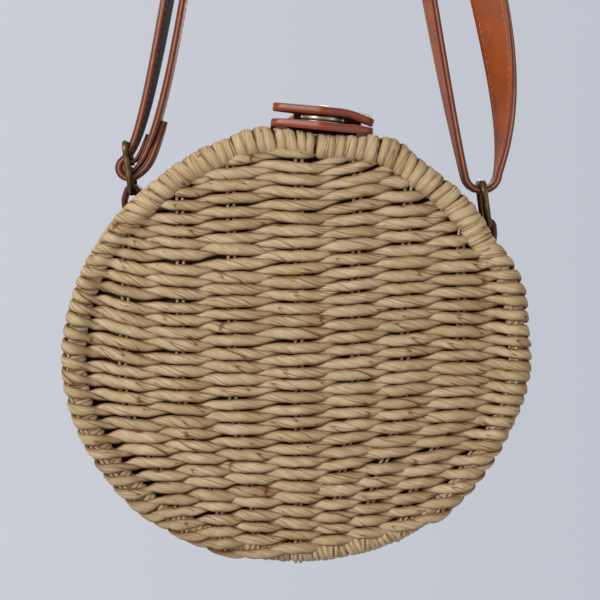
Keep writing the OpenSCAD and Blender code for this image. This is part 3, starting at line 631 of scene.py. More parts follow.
def panel_rows(side, weave):
    """Rows of one panel, from the foot to the mouth."""
    rng = np.random.default_rng(weave.seed + (0 if side > 0 else 50))
    tubes, pitch, stakes = Tubes(), weave.row_pitch / MM, weave.stake_pitch / MM
    half_w, roll_r = weave.strand / MM / 2, weave.roll / MM / 2
    step, first_z, reach = 1.5, 1.2, 118.0
    # How far inside the oval a row ends, the fewest points it has, and how far inside it comes at least
    under_whipping, round_roll, fewest, lowest = 6.6, -(roll_r + TWINE_RIDE) * 1.9, 8, 3.2
    # Where the holes lie inside the oval, their width, and the height over which there are any
    hole_at, hole_w, hole_z = 7.5, 2.6, 74
    # Length and depth of the end that is tucked under the whipping
    tuck_run, tuck_depth = 9, 2.2
    x = np.arange(-reach, reach, step)
    for number in range(-20, 18):
        z = row_height(x, number * pitch + first_z) + drift(rng, x, 21, 0.3)
        centre, normal, inset, angle = wall_place(x, z, side, roll_r)
        mouth = (angle > MOUTH_ANGLE - 1) & (angle < 181 - MOUTH_ANGLE)
        # Rows end under the whipping at the mouth, and inside the roll elsewhere
        kept = np.flatnonzero(inset > np.where(mouth, under_whipping, round_roll))
        if len(kept) < fewest or inset.max() < lowest:
            continue
        part = slice(kept[0], kept[-1] + 1)
        x_part, z_part, inset, mouth = x[part], z[part], inset[part], mouth[part]
        near_rim = smooth(-inset, -10, -ROLL_R)
        # Holes where the rows pass from the panel to the roll, wider at the left
        hole = np.exp(-((inset - hole_at) / hole_w) ** 2) * (np.abs(z_part) < hole_z)
        hole = hole * np.where(x_part < 0, 1.0, 0.45)
        phase = column_phase(x_part, z_part, stakes)
        steps = np.arange(len(phase))
        tucked = np.zeros(len(phase))
        for end, away in ((0, steps), (-1, steps[::-1])):
            if mouth[end]:
                tucked = np.maximum(tucked, 1 - smooth(away * step, 0, tuck_run))
        sunk = centre[part] - normal[part] * (tuck_depth * tucked ** 1.5)[:, None]
        twine_row(tubes, sunk, normal[part], phase, half_w, rng, near_rim, hole, side, 1 - 0.55 * tucked ** 3)
    return tubes


def panel_stakes(side, weave):
    """Pairs of covered wires that the rows are twined round."""
    rng = np.random.default_rng(weave.seed + 3)
    tubes = Tubes()
    z = np.arange(-92.0, 92.0, 3.0)
    for number in range(-4, 5):
        middle = np.interp(number, COLUMN_NUMBERS, COLUMN_SHARES) * weave.stake_pitch / MM * fan(z)
        for half in (-1, 1):
            x = middle + half * PAIR_HALF * (1 - 0.25 * smooth(-z, 10, 80))
            centre, normal, inset, _ = wall_place(x, z, side, weave.roll / MM / 2)
            part = np.flatnonzero(inset > np.where(z > 0, 3.0, -1.0))
            if len(part) >= 4:
                inside = slice(part[0], part[-1] + 1)
                stake_wire(tubes, centre[inside], normal[inside], rng)
    return tubes


def whipping(tubes, start, end, side, rng, core, pitch, half_w, thick, tilt):
    """Flat strand wound round a rim's roll between two angles; tilt gives each turn's slant."""
    fine, run = along_oval(start, end, 0.5)
    turns, steps = int(run[-1] / pitch), 26
    around = circle(steps)
    at, theta, wrap = [], [], []
    for turn in range(turns):
        # Each turn's place, slant and width differ a little
        here = (turn + 0.5) * pitch + rng.normal(0, 0.06) * pitch
        lean = tilt(np.interp(here, run, fine)) + rng.normal(0, 0.1) * pitch
        at.append(here + pitch * around / TURN - lean * np.sin(around))
        theta.append(around + math.pi)
        wrap.append(np.full(steps, rng.normal(1, 0.09)))
    at, theta, wrap = (np.concatenate(rows) for rows in (at, theta, wrap))
    degrees = np.interp(at, run, fine)
    x, z = oval_points(degrees, ROLL_R)
    normal = outward(degrees) * np.sin(theta)[:, None] + np.array([0, -side, 0]) * np.cos(theta)[:, None]
    height = core + thick * (0.15 + 0.85 * wrap) + 0.12 * np.sin(theta * 2 + wrap * 9)
    path = xyz(x, -side * RIM_Y, z) + normal * height[:, None]
    wide = half_w * np.convolve(wrap, np.ones(9) / 9, "same")
    wide[:5], wide[-5:] = half_w, half_w
    rings, length_run = strand_rings(leaned(path), leaned(normal), wide, np.full(len(path), thick),
                                     0.1 * np.sin(theta * 3), 7, rng, 8)
    # A random tone for each turn, darkened by painted shade at its sides and back
    tone = np.repeat(0.53 + 0.07 * rng.normal(size=turns), steps)[:, None]
    tubes.sweep(rings, length_run, tone * side_shade(8, 0.75))


class CIRCLEBAG_OT_walls(bpy.types.Operator):
    """Twine the two bowed panels round their pairs of stakes"""
    bl_idname = "circle_bag.walls"
    bl_label = "Twined panels"

    def execute(self, context):
        weave = context.scene.bag_weave
        for side, word in ((1, "front"), (-1, "back")):
            rng = np.random.default_rng(weave.seed + 20 + side)
            tubes = panel_rows(side, weave)
            whipping(tubes, 180 - MOUTH_ANGLE, 360 + MOUTH_ANGLE, side, rng, core=weave.roll / MM / 2 - 0.7,
                     pitch=2.3, half_w=1.35, thick=0.7, tilt=lambda degrees: 0.5)
            settle(tubes.build(word + "_twining", handmade, "twine"), "bag", word + "_weave")
            wires = panel_stakes(side, weave).build(word + "_stake_wires", handmade, "wire")
            settle(wires, "bag", word + "_stakes")
        return {"FINISHED"}


class CIRCLEBAG_OT_gusset(bpy.types.Operator):
    """Twine the band that joins the two panels, and the wires across it"""
    bl_idname = "circle_bag.gusset"
    bl_label = "Twined gusset"

    def execute(self, context):
        weave = context.scene.bag_weave
        rng = np.random.default_rng(weave.seed + 90)
        tubes, wires = Tubes(), Tubes()
        # Rows and their pitch, half the width of a strand, and degrees left free at each end
        rows, row_pitch, half_w, clear = 9, 5.35, 2.4, 1.5
        angles, run = along_oval(180 - MOUTH_ANGLE + clear, 360 + MOUTH_ANGLE - clear, 1.5)
        count = round(run[-1] / (weave.stake_pitch / MM))
        x, z = oval_points(angles, ROLL_R)
        for row in range(rows):
            y = (row - (rows - 1) / 2) * row_pitch + drift(rng, run, 25, 0.3)
            phase = run / run[-1] * count - 0.5 + rng.normal(0, 0.04)
            end = 1 - smooth(run, 0, 5) + smooth(run, run[-1] - 5, run[-1])
            twine_row(tubes, leaned(xyz(x, y, z)), leaned(outward(angles)), phase, half_w, rng,
                      0.5 * end, 0 * run)
        across = np.linspace(-RIM_Y + 3, RIM_Y - 3, 16)
        for number in range(count):
            for half in (-1, 1):
                place = np.interp((number + 0.5) / count * run[-1] + half * PAIR_HALF, run, angles)
                px, pz = oval_points(place, ROLL_R)
                path = leaned(xyz(px, across, pz))
                stake_wire(wires, path, np.broadcast_to(leaned(outward(place)), path.shape), rng)
        settle(tubes.build("gusset_twining", handmade, "twine"), "bag", "gusset_weave")
        settle(wires.build("gusset_stake_wires", handmade, "wire"), "bag", "gusset_stakes")
        return {"FINISHED"}


def end_whipping(tubes, mirror, rng):
    """Strand wound round one end of the gusset, on both sides of its leather tab."""
    x, z = oval_points(MOUTH_ANGLE, ROLL_R)
    out, up = outward(MOUTH_ANGLE), outward(MOUTH_ANGLE + 90)
    # The strand covers the end from the tab's edge to the rim
    near, far, pitch, core, half_w = 8.3, 23.5, 3.9, 3.1, 1.9
    for side in (-1, 1):
        y = np.linspace(side * near, side * far, 110)
        theta = (y - y[0]) / pitch * TURN
        normal = out * np.cos(theta)[:, None] + up * np.sin(theta)[:, None]
        path = xyz(x, y, z) + normal * core
        flip = [-1, 1, 1] if mirror else [1, 1, 1]
        flat = np.full(len(path), half_w)
        rings, run = strand_rings(leaned(path * flip), leaned(normal * flip), flat, 0.45 * flat, 0 * flat,
                                  7, rng, 8)
        # Painted shade at the sides and back of each wrap
        tubes.sweep(rings, run, 0.5 * side_shade(8, 0.5))


def shoulder_tilt(degrees):
    """Slant of the mouth's whipping, which grows down the shoulders."""
    return 1.9 * smooth(abs(degrees - 90), 14, 45) * (1 if degrees > 90 else -1)


class CIRCLEBAG_OT_bindings(bpy.types.Operator):
    """Whip the rims along the mouth and the two ends of the gusset"""
    bl_idname = "circle_bag.bindings"
    bl_label = "Whipped bindings"

    def execute(self, context):
        weave = context.scene.bag_weave
        pieces = []
        for side, word in ((1, "front"), (-1, "back")):
            rng, tubes = np.random.default_rng(weave.seed + 120 + side), Tubes()
            whipping(tubes, MOUTH_ANGLE - 3, 183 - MOUTH_ANGLE, side, rng, core=weave.roll / MM / 2 + 0.2,
                     pitch=weave.whip_pitch / MM, half_w=2.45, thick=1.05, tilt=shoulder_tilt)
            pieces.append((tubes, word + "_mouth_whipping", word + "_mouth_binding"))
        rng, ends = np.random.default_rng(weave.seed + 140), Tubes()
        for mirror in (False, True):
            end_whipping(ends, mirror, rng)
        pieces.append((ends, "gusset_end_whipping", "mouth_end_bindings"))
        for tubes, name, solid in pieces:
            settle(tubes.build(name, handmade, "binding"), "bag", solid)
        return {"FINISHED"}


class CIRCLEBAG_OT_lining(bpy.types.Operator):
    """Sew the cotton pouch that hangs just inside the woven walls"""
    bl_idname = "circle_bag.lining"
    bl_label = "Cotton lining"

    def execute(self, context):
        rng, tubes = np.random.default_rng(context.scene.bag_weave.seed + 160), Tubes()
        # How far the pouch lies inside the oval and behind the woven panel, and further at its rim
        inset, behind, drawn_in, sides = ROLL_R + 3.0, 3.9, 2.0, 181
        angles = np.linspace(0, 360, sides)
        # Slack of the cloth round the pouch, brought back to where it starts
        slack = np.cumsum(rng.normal(0, 1, sides))
        slack = 0.35 * (slack - np.linspace(slack[0], slack[-1], sides)) / (np.ptp(slack) + 1)
        for side in (-1, 1):
            rings = []
            for share in np.linspace(0.02, 1, 22):
                x, z = (place * share for place in oval_points(angles, inset))
                y = RIM_Y + bow_at(np.hypot(x, z)) - behind - drawn_in * smooth(share, 0.86, 1) \
                    + (slack + 0.3 * np.sin(z / 7 + x / 19)) * share
                rings.append(xyz(x, -side * y, z))
            tubes.sweep(leaned(rings), np.arange(22.0), 0, closed=False, caps=False)
        wall = np.linspace(180 - MOUTH_ANGLE, 360 + MOUTH_ANGLE, 140)
        x, z = oval_points(wall, inset + 0.2)
        edge = RIM_Y + bow_at(np.hypot(x, z)) - behind - drawn_in
        rings = [xyz(x, y * edge, z) + outward(wall) * (0.5 * np.sin(5 * y + wall / 9))[:, None]
                 for y in np.linspace(-1, 1, 16)]
        tubes.sweep(leaned(rings), np.arange(16.0), 0, closed=False, caps=False)
        pouch = tubes.build("cotton_pouch", upright, "cotton")
        cloth = pouch.modifiers.new("thickness", "SOLIDIFY")
        cloth.thickness, cloth.offset = 0.7 * MM, 0
        settle(pouch, "bag", "lining_bag")
        return {"FINISHED"}


# Leather closure

CLOSURE_X, CLOSURE_W, LEATHER_T, POINT, OVERHANG = 1.5, 42.0, 2.8, 7.0, 6.5
PLATE_LENGTH, FLAP_LENGTH = 42, 58
BINDING_R, SNAP_R, SNAP_Y, STUD_T, SOCKET_T = 5.25, 9, -7.0, 0.8, 2.0
# How much thicker the leather looks with its swollen edge
FULL = 0.6
PLATE_Z = BAG_H / 2 - ROLL_R + BINDING_R + SEAT
FLAP_Z = PLATE_Z + LEATHER_T + STUD_T + SEAT + SOCKET_T
LOOP_X, LOOP_W, LOOP_T = CLOSURE_W / 2 - 5, 4.0, 1.2
LOOP_Z = BAG_H / 2 - TOP_R + math.sqrt((TOP_R - ROLL_R) ** 2 - LOOP_X ** 2)


def rounded_polygon(corners, radius, steps=6):
    """Outline with every corner rounded."""
    corners = [np.array(c, float) for c in corners]
    points = []
    for before, here, after in zip(corners[-1:] + corners[:-1], corners, corners[1:] + corners[:1]):
        a, b = unit(before - here), unit(after - here)
        half = math.acos(np.clip(a @ b, -1, 1)) / 2
        back = radius / math.tan(half)
        middle = here + unit(a + b) * radius / math.sin(half)
        start, end = here + a * back - middle, here + b * back - middle
        for t in np.linspace(0, 1, steps):
            points.append(middle + unit(start * (1 - t) + end * t) * radius)
    return np.array(points)


def leather_slab(tubes, outline, surface_at, thickness, edge):
    """Slab of leather over an outline, with rounded edges; surface_at gives each point's foot and up."""
    middle = outline.mean(0)
    across = outline - middle
    out = unit(across)
    inner = [middle + across * share - out * edge * share for share in np.linspace(0.02, 0.98, 26)]
    rings = [(p, 0.0) for p in inner]
    bevel = np.radians(np.linspace(-90, 90, 9))
    for a in bevel:
        high = thickness / 2 + (thickness / 2 - edge) * np.sign(a) + edge * math.sin(a)
        rings.append((outline - out * edge * (1 - math.cos(a)), high))
    rings += [(p, thickness) for p in inner[::-1]]
    stack = []
    for p, high in rings:
        foot, up = surface_at(p)
        stack.append(foot + up * high)
    # Painted shade and light: the underside is painted dark, the top a little darker and duller, and the
    # edge's middle is painted light on the left, fading into the darker edge colour on the right
    flat, row = len(inner), len(outline)
    tone = np.zeros((len(stack), row))
    tone[:flat] = 0.75
    tone[flat + len(bevel):] = 0.25
    tone[flat + len(bevel) // 2] = 0.6 * (1 - 0.95 * smooth(outline[:, 0] - CLOSURE_X, 0, 11))
    tubes.sweep(np.array(stack), np.linspace(0, 60, len(stack)), tone)
    cut = (len(bevel) - 1) * row
    tubes.slots[flat * row:flat * row + cut] = [1] * cut


def rim_loop(tubes, x, side):
    """Leather band round the rim under a corner of the closure; the whipping covers it below."""
    t = np.linspace(0, TURN, 61)
    thick, wide = LOOP_T / 2, LOOP_W / 2
    profile = rounded_polygon([(-thick, -wide), (thick, -wide), (thick, wide), (-thick, wide)], 0.3, 3)
    # The loop stands off the roll at its top, where it meets the leather, and is hidden below
    middle = 3.7 + 3.0 * np.exp(-((t - math.pi / 2) / 0.5) ** 2)
    r = middle[:, None] + profile[:, 0]
    rings = xyz(x + profile[:, 1], -side * (RIM_Y + r * np.cos(t)[:, None]), LOOP_Z + r * np.sin(t)[:, None])
    # The loops take the dark edge paint, as painted shade: they sit in the shadow under the closure's leather
    tubes.sweep(rings, t * 6.6, 0.1, caps=False, slots=[2] * len(profile))


def closure_outline(front, back):
    """Pointed outline of the closure's leather, as even steps."""
    w = CLOSURE_W / 2
    shape = rounded_polygon([(0, front), (w, front + POINT), (w, back - POINT),
                             (0, back), (-w, back - POINT), (-w, front + POINT)], 6.0)
    shape = np.concatenate([shape, shape[:1]])
    run = run_along(shape)
    even = np.linspace(0, run[-1], 160, endpoint=False)
    return np.stack([np.interp(even, run, way) for way in shape.T], -1) + [CLOSURE_X, 0]


def waisted(p):
    """The flap's outline drawn in behind the snap, where it bends down to the back rim, most at its left."""
    x, y = p.T
    waist = smooth(y, RIM_Y - 34, RIM_Y - 19) * (1 - smooth(y, RIM_Y - 15, RIM_Y))
    x = x - CLOSURE_X
    return np.stack([CLOSURE_X + x * (1 - np.where(x < 0, 0.42, 0.2) * waist), y], -1)


def flap_height(p):
    """Underside of the flap: flat on the rim, up in a bend and flat over the snap, drooping to the right."""
    x, y = p.T
    rise = smooth(-y, 6 - RIM_Y, 20 - RIM_Y) * (FLAP_Z - PLATE_Z)
    return PLATE_Z + rise - 3.1 * smooth(x, 8, 25) ** 1.2 * smooth(-y, -10, 12)


def flap_surface(p):
    """Foot and upward direction of the flap at each point of its outline."""
    p, step = waisted(p), 0.2
    h = flap_height(p)
    up = xyz((h - flap_height(p + [step, 0])) / step, (h - flap_height(p + [0, step])) / step, 1)
    return xyz(p[:, 0], p[:, 1], h), unit(up)


def plate_surface(p):
    """Foot and upward direction of the plate at each point; it dips behind the rim that carries it."""
    x, y = p.T
    dip = smooth(y, 3 - RIM_Y, 10 - RIM_Y) * (1 - smooth(y, -23, -16.5))
    h = PLATE_Z - FULL - 2.9 * dip - 0.2 * smooth(x, 14, 24) - 0.4 * smooth(-x, 12, 20)
    return xyz(x, y, h), np.array([0.0, 0, 1])


class CIRCLEBAG_OT_closure(bpy.types.Operator):
    """Cut the plate and the flap of the closure, with their loops round the rims"""
    bl_idname = "circle_bag.closure"
    bl_label = "Leather closure"

    def execute(self, context):
        reach = RIM_Y + OVERHANG
        plate = closure_outline(-reach, PLATE_LENGTH - reach)
        flap = closure_outline(reach - FLAP_LENGTH, reach)
        for name, solid, body, outline, surface_at, side in (
                ("front_plate_leather", "closure_plate", "bag", plate, plate_surface, 1),
                ("flap_leather", "closure_flap", "flap", flap, flap_surface, -1)):
            tubes = Tubes()
            leather_slab(tubes, outline, surface_at, LEATHER_T + FULL, context.scene.bag_leather.edge / MM)
            for x in (-LOOP_X, LOOP_X):
                rim_loop(tubes, CLOSURE_X + x, side)
            settle(tubes.build(name, hung, "strap", "cut", "edge"), body, solid)
        return {"FINISHED"}


def turned(profile, sides):
    """Rings of a turned piece round its axis; profile points are radius and height."""
    a = circle(sides)
    return np.array([xyz(r * np.cos(a), r * np.sin(a), h) for r, h in profile])


def dome(z, radius, height):
    """Profile of a rivet's domed head, up from its flat side."""
    return [(0.01, z), (radius * 0.92, z)] + [
        (radius * math.cos(t), z + 0.12 * height + 0.88 * height * math.sin(t))
        for t in np.linspace(0, math.pi / 2 - 0.02, 8)]


class CIRCLEBAG_OT_snap(bpy.types.Operator):
    """Turn the two halves of the magnetic snap, its magnet and its rivets"""
    bl_idname = "circle_bag.snap"
    bl_label = "Magnetic snap"

    def execute(self, context):
        base, top, rivet = PLATE_Z + LEATHER_T, FLAP_Z + LEATHER_T + FULL, (2.3, 0.9)
        # Radius and depth under the flap, or height over the plate; the cup and the magnet are rings
        cup = [(3.25, 0.5), (3.25, 2), (3.8, 2), (3.8, 0.7), (7.05, 0.7), (7.05, 2), (8.6, 2),
               (8.9, 1.85), (SNAP_R, 1.6), (SNAP_R, 0.5), (8.8, 0.12), (8.4, 0), (0.01, 0), (0.01, 0.3),
               (3.25, 0.3), (3.25, 0.5)]
        ring = [(3.9, 0.72), (3.9, 1.9), (4.0, 1.98), (6.9, 1.98), (7, 1.9), (7, 0.72), (3.9, 0.72)]
        stud = [(0.01, 0), (8.6, 0), (8.95, 0.2), (SNAP_R, 0.45), (8.8, 0.72), (8.4, STUD_T), (2.9, STUD_T),
                (2.8, 0.95), (2.8, 2.2), (2.55, 2.45), (2.2, 2.5), (0.01, 2.5)]
        cup, ring = ([(r, FLAP_Z - h) for r, h in profile] for profile in (cup, ring))
        stud = [(r, base + h) for r, h in stud]
        head = [(r, 2 * PLATE_Z - FULL - h) for r, h in dome(PLATE_Z, *rivet)]
        for name, solid, body, profile, finish, slot in (
                ("snap_stud_turned", "snap_stud", "bag", stud, "snap", "snap_metal"),
                ("stud_rivet_head", "stud_rivet", "bag", head, "snap", "snap_metal"),
                ("snap_socket_turned", "snap_socket", "flap", cup, "snap", "snap_metal"),
                ("snap_magnet_ring", "snap_magnet", "flap", ring, "magnet", "magnet"),
                ("socket_rivet_head", "socket_rivet", "flap", dome(top, *rivet), "snap", "snap_metal")):
            tubes = Tubes()
            tubes.sweep(turned(profile, 64) + [CLOSURE_X, SNAP_Y, 0], np.arange(float(len(profile))), 0,
                        caps=profile[0] != profile[-1])
            settle(tubes.build(name, hung, finish), body, solid)
        return {"FINISHED"}


# Side tabs, ring and slider

TAB_W, TAB_T, TAB_REACH, TAB_LIFT = 14.0, 2.0, 15.1, 3.5
TAB_ANGLE = MOUTH_ANGLE - 4.5
# Two places along a tab; the tab's points there are worked out below but not used
TAB_BEND = (2.2, 13.4)
# Radii of the slider's bar and of the ring's wire at the tabs
SLIDER_BAR_R, RING_BAR_R = 1.35, 1.5
TAB_OUT, TAB_UP = outward(TAB_ANGLE), outward(TAB_ANGLE + 90)
TAB_ROOT = np.insert(oval_points(TAB_ANGLE, ROLL_R), 1, 0)
ANCHOR_X, _, ANCHOR_Z = TAB_ROOT + TAB_REACH * TAB_UP + TAB_LIFT * TAB_OUT


def tab_place(points, side):
    """Points on the gusset's end, along it, across it and outward, as places on the leaning bag."""
    along, across, out = apart(points)
    place = TAB_ROOT + along[..., None] * TAB_UP + xyz(0, across, 0) + out[..., None] * TAB_OUT
    return swelled(leaned(place * [side, 1, 1]), 1 - smooth(along, 3, 11))


def band_section(width, thickness, edge):
    """Section of a leather band: points across and through, slot of each face and tone of each point."""
    w, t = width / 2, thickness / 2
    arc = np.radians([0, 22, 48, 72, 90])
    quarter = [(w - edge + edge * math.sin(a), -t + edge - edge * math.cos(a)) for a in arc]
    right = quarter + [(w + 0.02, 0.0)] + [(x, -y) for x, y in quarter[::-1]]
    top = [(x * w, t) for x in (0.66, 0.33, 0, -0.33, -0.66)]
    half = right + top
    points = np.array(half + [(-x, -y) for x, y in half])
    slots = ([1] * (len(right) - 1) + [0] * (len(top) + 1)) * 2
    # The middle of each edge has the tone of the seam
    tone = np.zeros(len(points))
    tone[[len(quarter), len(quarter) + len(half)]] = 0.7
    return points, slots, tone


class CIRCLEBAG_OT_tabs(bpy.types.Operator):
    """Fold the leather side tabs over the ring and the slider and rivet them to the gusset"""
    bl_idname = "circle_bag.tabs"
    bl_label = "Side tabs"

    def execute(self, context):
        # Stations along a tab, its play round the bar, half the gusset's thickness, the rounding of an edge
        count, gap, wall_half, edge = 90, 0.3, 2.0, 0.45
        for side, word, bar in ((-1, "left", SLIDER_BAR_R), (1, "right", RING_BAR_R)):
            flat = wall_half + TAB_T / 2
            bow = polar((TAB_REACH, TAB_LIFT), bar + gap + TAB_T / 2, np.linspace(118, -98, 15))
            # Along the gusset's outer face, round the bar and back along its inner face, then smoothed
            route = np.concatenate([[(-6, flat), (-3, flat), (0, flat), (3, flat), (6.3, flat + 0.1)], bow,
                                    [(6.3, -flat - 0.05), (3, -flat), (0, -flat), (-3, -flat), (-6, -flat)]])
            fine = np.linspace(0, len(route) - 1, count)
            route = np.stack([np.interp(fine, np.arange(len(route)), way) for way in route.T], -1)
            for _ in range(3):
                route[1:-1] = (route[:-2] + 2 * route[1:-1] + route[2:]) / 4
            path = xyz(route[:, 0], 0, route[:, 1])
            normal = np.cross(unit(np.gradient(path, axis=0)), [0, 1, 0])
            section, slots, _ = band_section(TAB_W, TAB_T, edge)
            # Both ends are rounded
            narrow = 0.72 + 0.28 * np.sin(np.clip(from_ends(count) / 5, 0, 1) * math.pi / 2)
            rings = path[:, None] + normal[:, None] * section[:, 1:] \
                + np.array([0, 1, 0]) * section[:, :1] * narrow[:, None, None]
            tubes = Tubes()
            tubes.sweep(tab_place(rings, side), run_along(path), 0, slots=slots)
            piece = tubes.build("side_tab_" + word + "_leather", upright, "tab", "edge")
            low, high = (upright(tab_place((u, 0, 0), side)) for u in TAB_BEND)
            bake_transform(piece)
            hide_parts("side_tab_" + word)
        rivets, (head_z, head_r, head_h) = Tubes(), (4.05, 3.5, 1.3)
        for side in (-1, 1):
            for face in (-1, 1):
                rings = turned(dome(head_z, head_r, head_h), 40) * [1, 1, face]
                rivets.sweep(tab_place(rings, side), np.arange(10.0), 0)
        settle(rivets.build("tab_rivet_heads", upright, "brass"), "bag", "tab_rivets")
        return {"FINISHED"}


class CIRCLEBAG_OT_metalwork(bpy.types.Operator):
    """Finish the ring, the slider and the rim wires"""
    bl_idname = "circle_bag.metalwork"
    bl_label = "Ring, slider and wires"

    def execute(self, context):
        for name, finish in (("strap_ring", "brass"), ("strap_slider", "brass"),
                             ("front_rim_wire", "wire"), ("back_rim_wire", "wire")):
            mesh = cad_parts[name].data
            mesh.materials.clear()
            mesh.materials.append(MATERIALS[finish])
            mesh.polygons.foreach_set("use_smooth", [True] * len(mesh.polygons))
        return {"FINISHED"}


# Strap, along the same route as its solid

STRAP_W, STRAP_T, FIXED_T, CROWN_R, STRAP_GAP, BEND_R = 16.0, 2.6, 1.2, 14.0, 0.35, 7.0
RING_H, SLIDER_H, SLIDER_ROD_R, HARDWARE_LEAN = 18.3, 20.6, 1.2, 7.5
# Radius of a stitch
STITCH_R = 0.17


def bend(centre, r, start, end, count):
    """Points of a turn round a circle, without its two ends."""
    return polar(centre, r, np.linspace(start, end, count + 2)[1:-1])


def meet(centre, r, degrees, way=1):
    """Point on a circle and the heading there, clockwise or, where way is -1, the other way round."""
    a = math.radians(degrees)
    return polar(centre, r, degrees), way * np.array([math.sin(a), -math.cos(a)])


def leg(p, heading, handle, q, heading_in, handle_in, count):
    """Points of a smooth leg between two places and headings; the handles tell how long it keeps to each."""
    t = np.linspace(0, 1, count)[:, None]
    a, b = p + handle * heading, q - handle_in * heading_in
    return (1 - t) ** 3 * p + 3 * (1 - t) ** 2 * t * a + 3 * (1 - t) * t ** 2 * b + t ** 3 * q


def swayed(points, bow, skew):
    """Hanging leg that bows sideways, most near its first point when skew is small."""
    swell = np.sin(math.pi * np.linspace(0, 1, len(points)) ** skew) ** 2
    return points + np.stack([bow * swell, 0 * swell], -1)


def strap_route():
    """Stations of the whole strap: place seen from the front, thickness, twist and length of each part."""
    up = polar((0, 0), 1, 90 + HARDWARE_LEAN)
    left, right = (leaned((x, 0, ANCHOR_Z))[[0, 2]] for x in (-ANCHOR_X, ANCHOR_X))
    slider, crown = left + SLIDER_H / 2 * up, np.array([CROWN_X, HANG_H - CROWN_R])
    loop = right + RING_H * up + [0, BEND_R - RING_BAR_R - SEAT - STRAP_T / 2]
    inner_r = CROWN_R + STRAP_T / 2
    outer_r = inner_r + STRAP_T + STRAP_GAP
    fixed_r = SLIDER_ROD_R + SEAT + FIXED_T / 2
    live_r = fixed_r + FIXED_T / 2 + STRAP_GAP + STRAP_T / 2
    # Where the strap leaves and meets each turn, in degrees round it
    fixed_in, fixed_out, live_in, live_out = 128, 318, 127, 304
    crown_left, inner_right, outer_right, loop_left, loop_right = 171, 10, 12, 196, 356
    # How far each leg keeps to its heading at the crown, at the ring, and at the slider, slack or taut
    hang, drop, ease, taut = 120, 60, 24, 8
    # Each leg: its two ends, its points, and how far and how evenly it bows sideways
    rising = swayed(leg(*meet(slider, fixed_r, fixed_out, -1), taut,
                        *meet(crown, inner_r, crown_left), hang, 1001), 5.2, 0.62)
    inner = swayed(leg(*meet(crown, inner_r, inner_right), hang,
                       *meet(loop, BEND_R, loop_left, -1), drop, 100)[::-1], 1.0, 0.55)
    outer = swayed(leg(*meet(loop, BEND_R, loop_right, -1), drop,
                       *meet(crown, outer_r, outer_right, -1), hang, 140), 4.2, 0.55)
    live = swayed(leg(*meet(crown, outer_r, crown_left, -1), hang,
                      *meet(slider, live_r, live_in, -1), ease, 110)[::-1], -2.7, 0.8)
    # The sewn end and the tail run beside the rising leg, from these of its points on
    start, tail_start, lie = rising[160], rising[200], 16
    way = unit(rising[170] - start)
    beside = np.array([way[1], -way[0]])
    sewn = leg(start - (STRAP_T / 2 + STRAP_GAP + FIXED_T / 2) * beside, -way, lie,
               *meet(slider, fixed_r, fixed_in, -1), taut / 2, 16)
    tail = leg(*meet(slider, live_r, live_out, -1), taut,
               tail_start + (STRAP_T + STRAP_GAP) * beside, way, lie, 14)
    # Each part with its twist at mid leg, in degrees
    parts = [(sewn, 0), (bend(slider, fixed_r, fixed_in, fixed_out, 14), 0), (rising[::8], 0),
             (bend(crown, inner_r, crown_left, inner_right, 26), 0), (inner[::-1], 12),
             (bend(loop, BEND_R, loop_left, loop_right, 16), 0), (outer, -76),
             (bend(crown, outer_r, outer_right, crown_left, 28), 0), (live[::-1], -9),
             (bend(slider, live_r, live_in, live_out, 16), 0), (tail, 0)]
    shares = [np.linspace(0, 1, len(points)) for points, _ in parts]
    thick = [np.full(len(share), STRAP_T) for share in shares]
    thick[0][:], thick[1][:] = FIXED_T, FIXED_T
    thick[2] = FIXED_T + (STRAP_T - FIXED_T) * smooth(shares[2], 0.02, 0.13)
    twist = [turn * np.sin(math.pi * share) ** 1.25 for share, (_, turn) in zip(shares, parts)]
    return (np.concatenate([points for points, _ in parts]), np.concatenate(thick), np.concatenate(twist),
            [len(share) for share in shares])


def stitch_line(tubes, path, up, spacing):
    """Row of stitches along a path, each a short rounded bar let a little into the leather."""
    run, a = run_along(path), circle(6)
    # Radius and lift of a stitch at five places along it
    fat, high = STITCH_R * np.array([[0.45, 0.95, 1.0, 0.95, 0.45], [-0.35, 0.2, 0.35, 0.2, -0.35]])
    for number in range(int(run[-1] / spacing)):
        ends = (number + np.array([0.12, 0.3, 0.5, 0.7, 0.88])) * spacing
        points, guide = (np.stack([np.interp(ends, run, way) for way in line.T], -1) for line in (path, up))
        across, raised = frames(points, guide)
        girth = across[:, None] * np.cos(a)[:, None] + raised[:, None] * 0.8 * np.sin(a)[:, None]
        rings = points[:, None] + girth * fat[:, None, None] + raised[:, None] * high[:, None, None]
        tubes.sweep(rings, ends, 0)


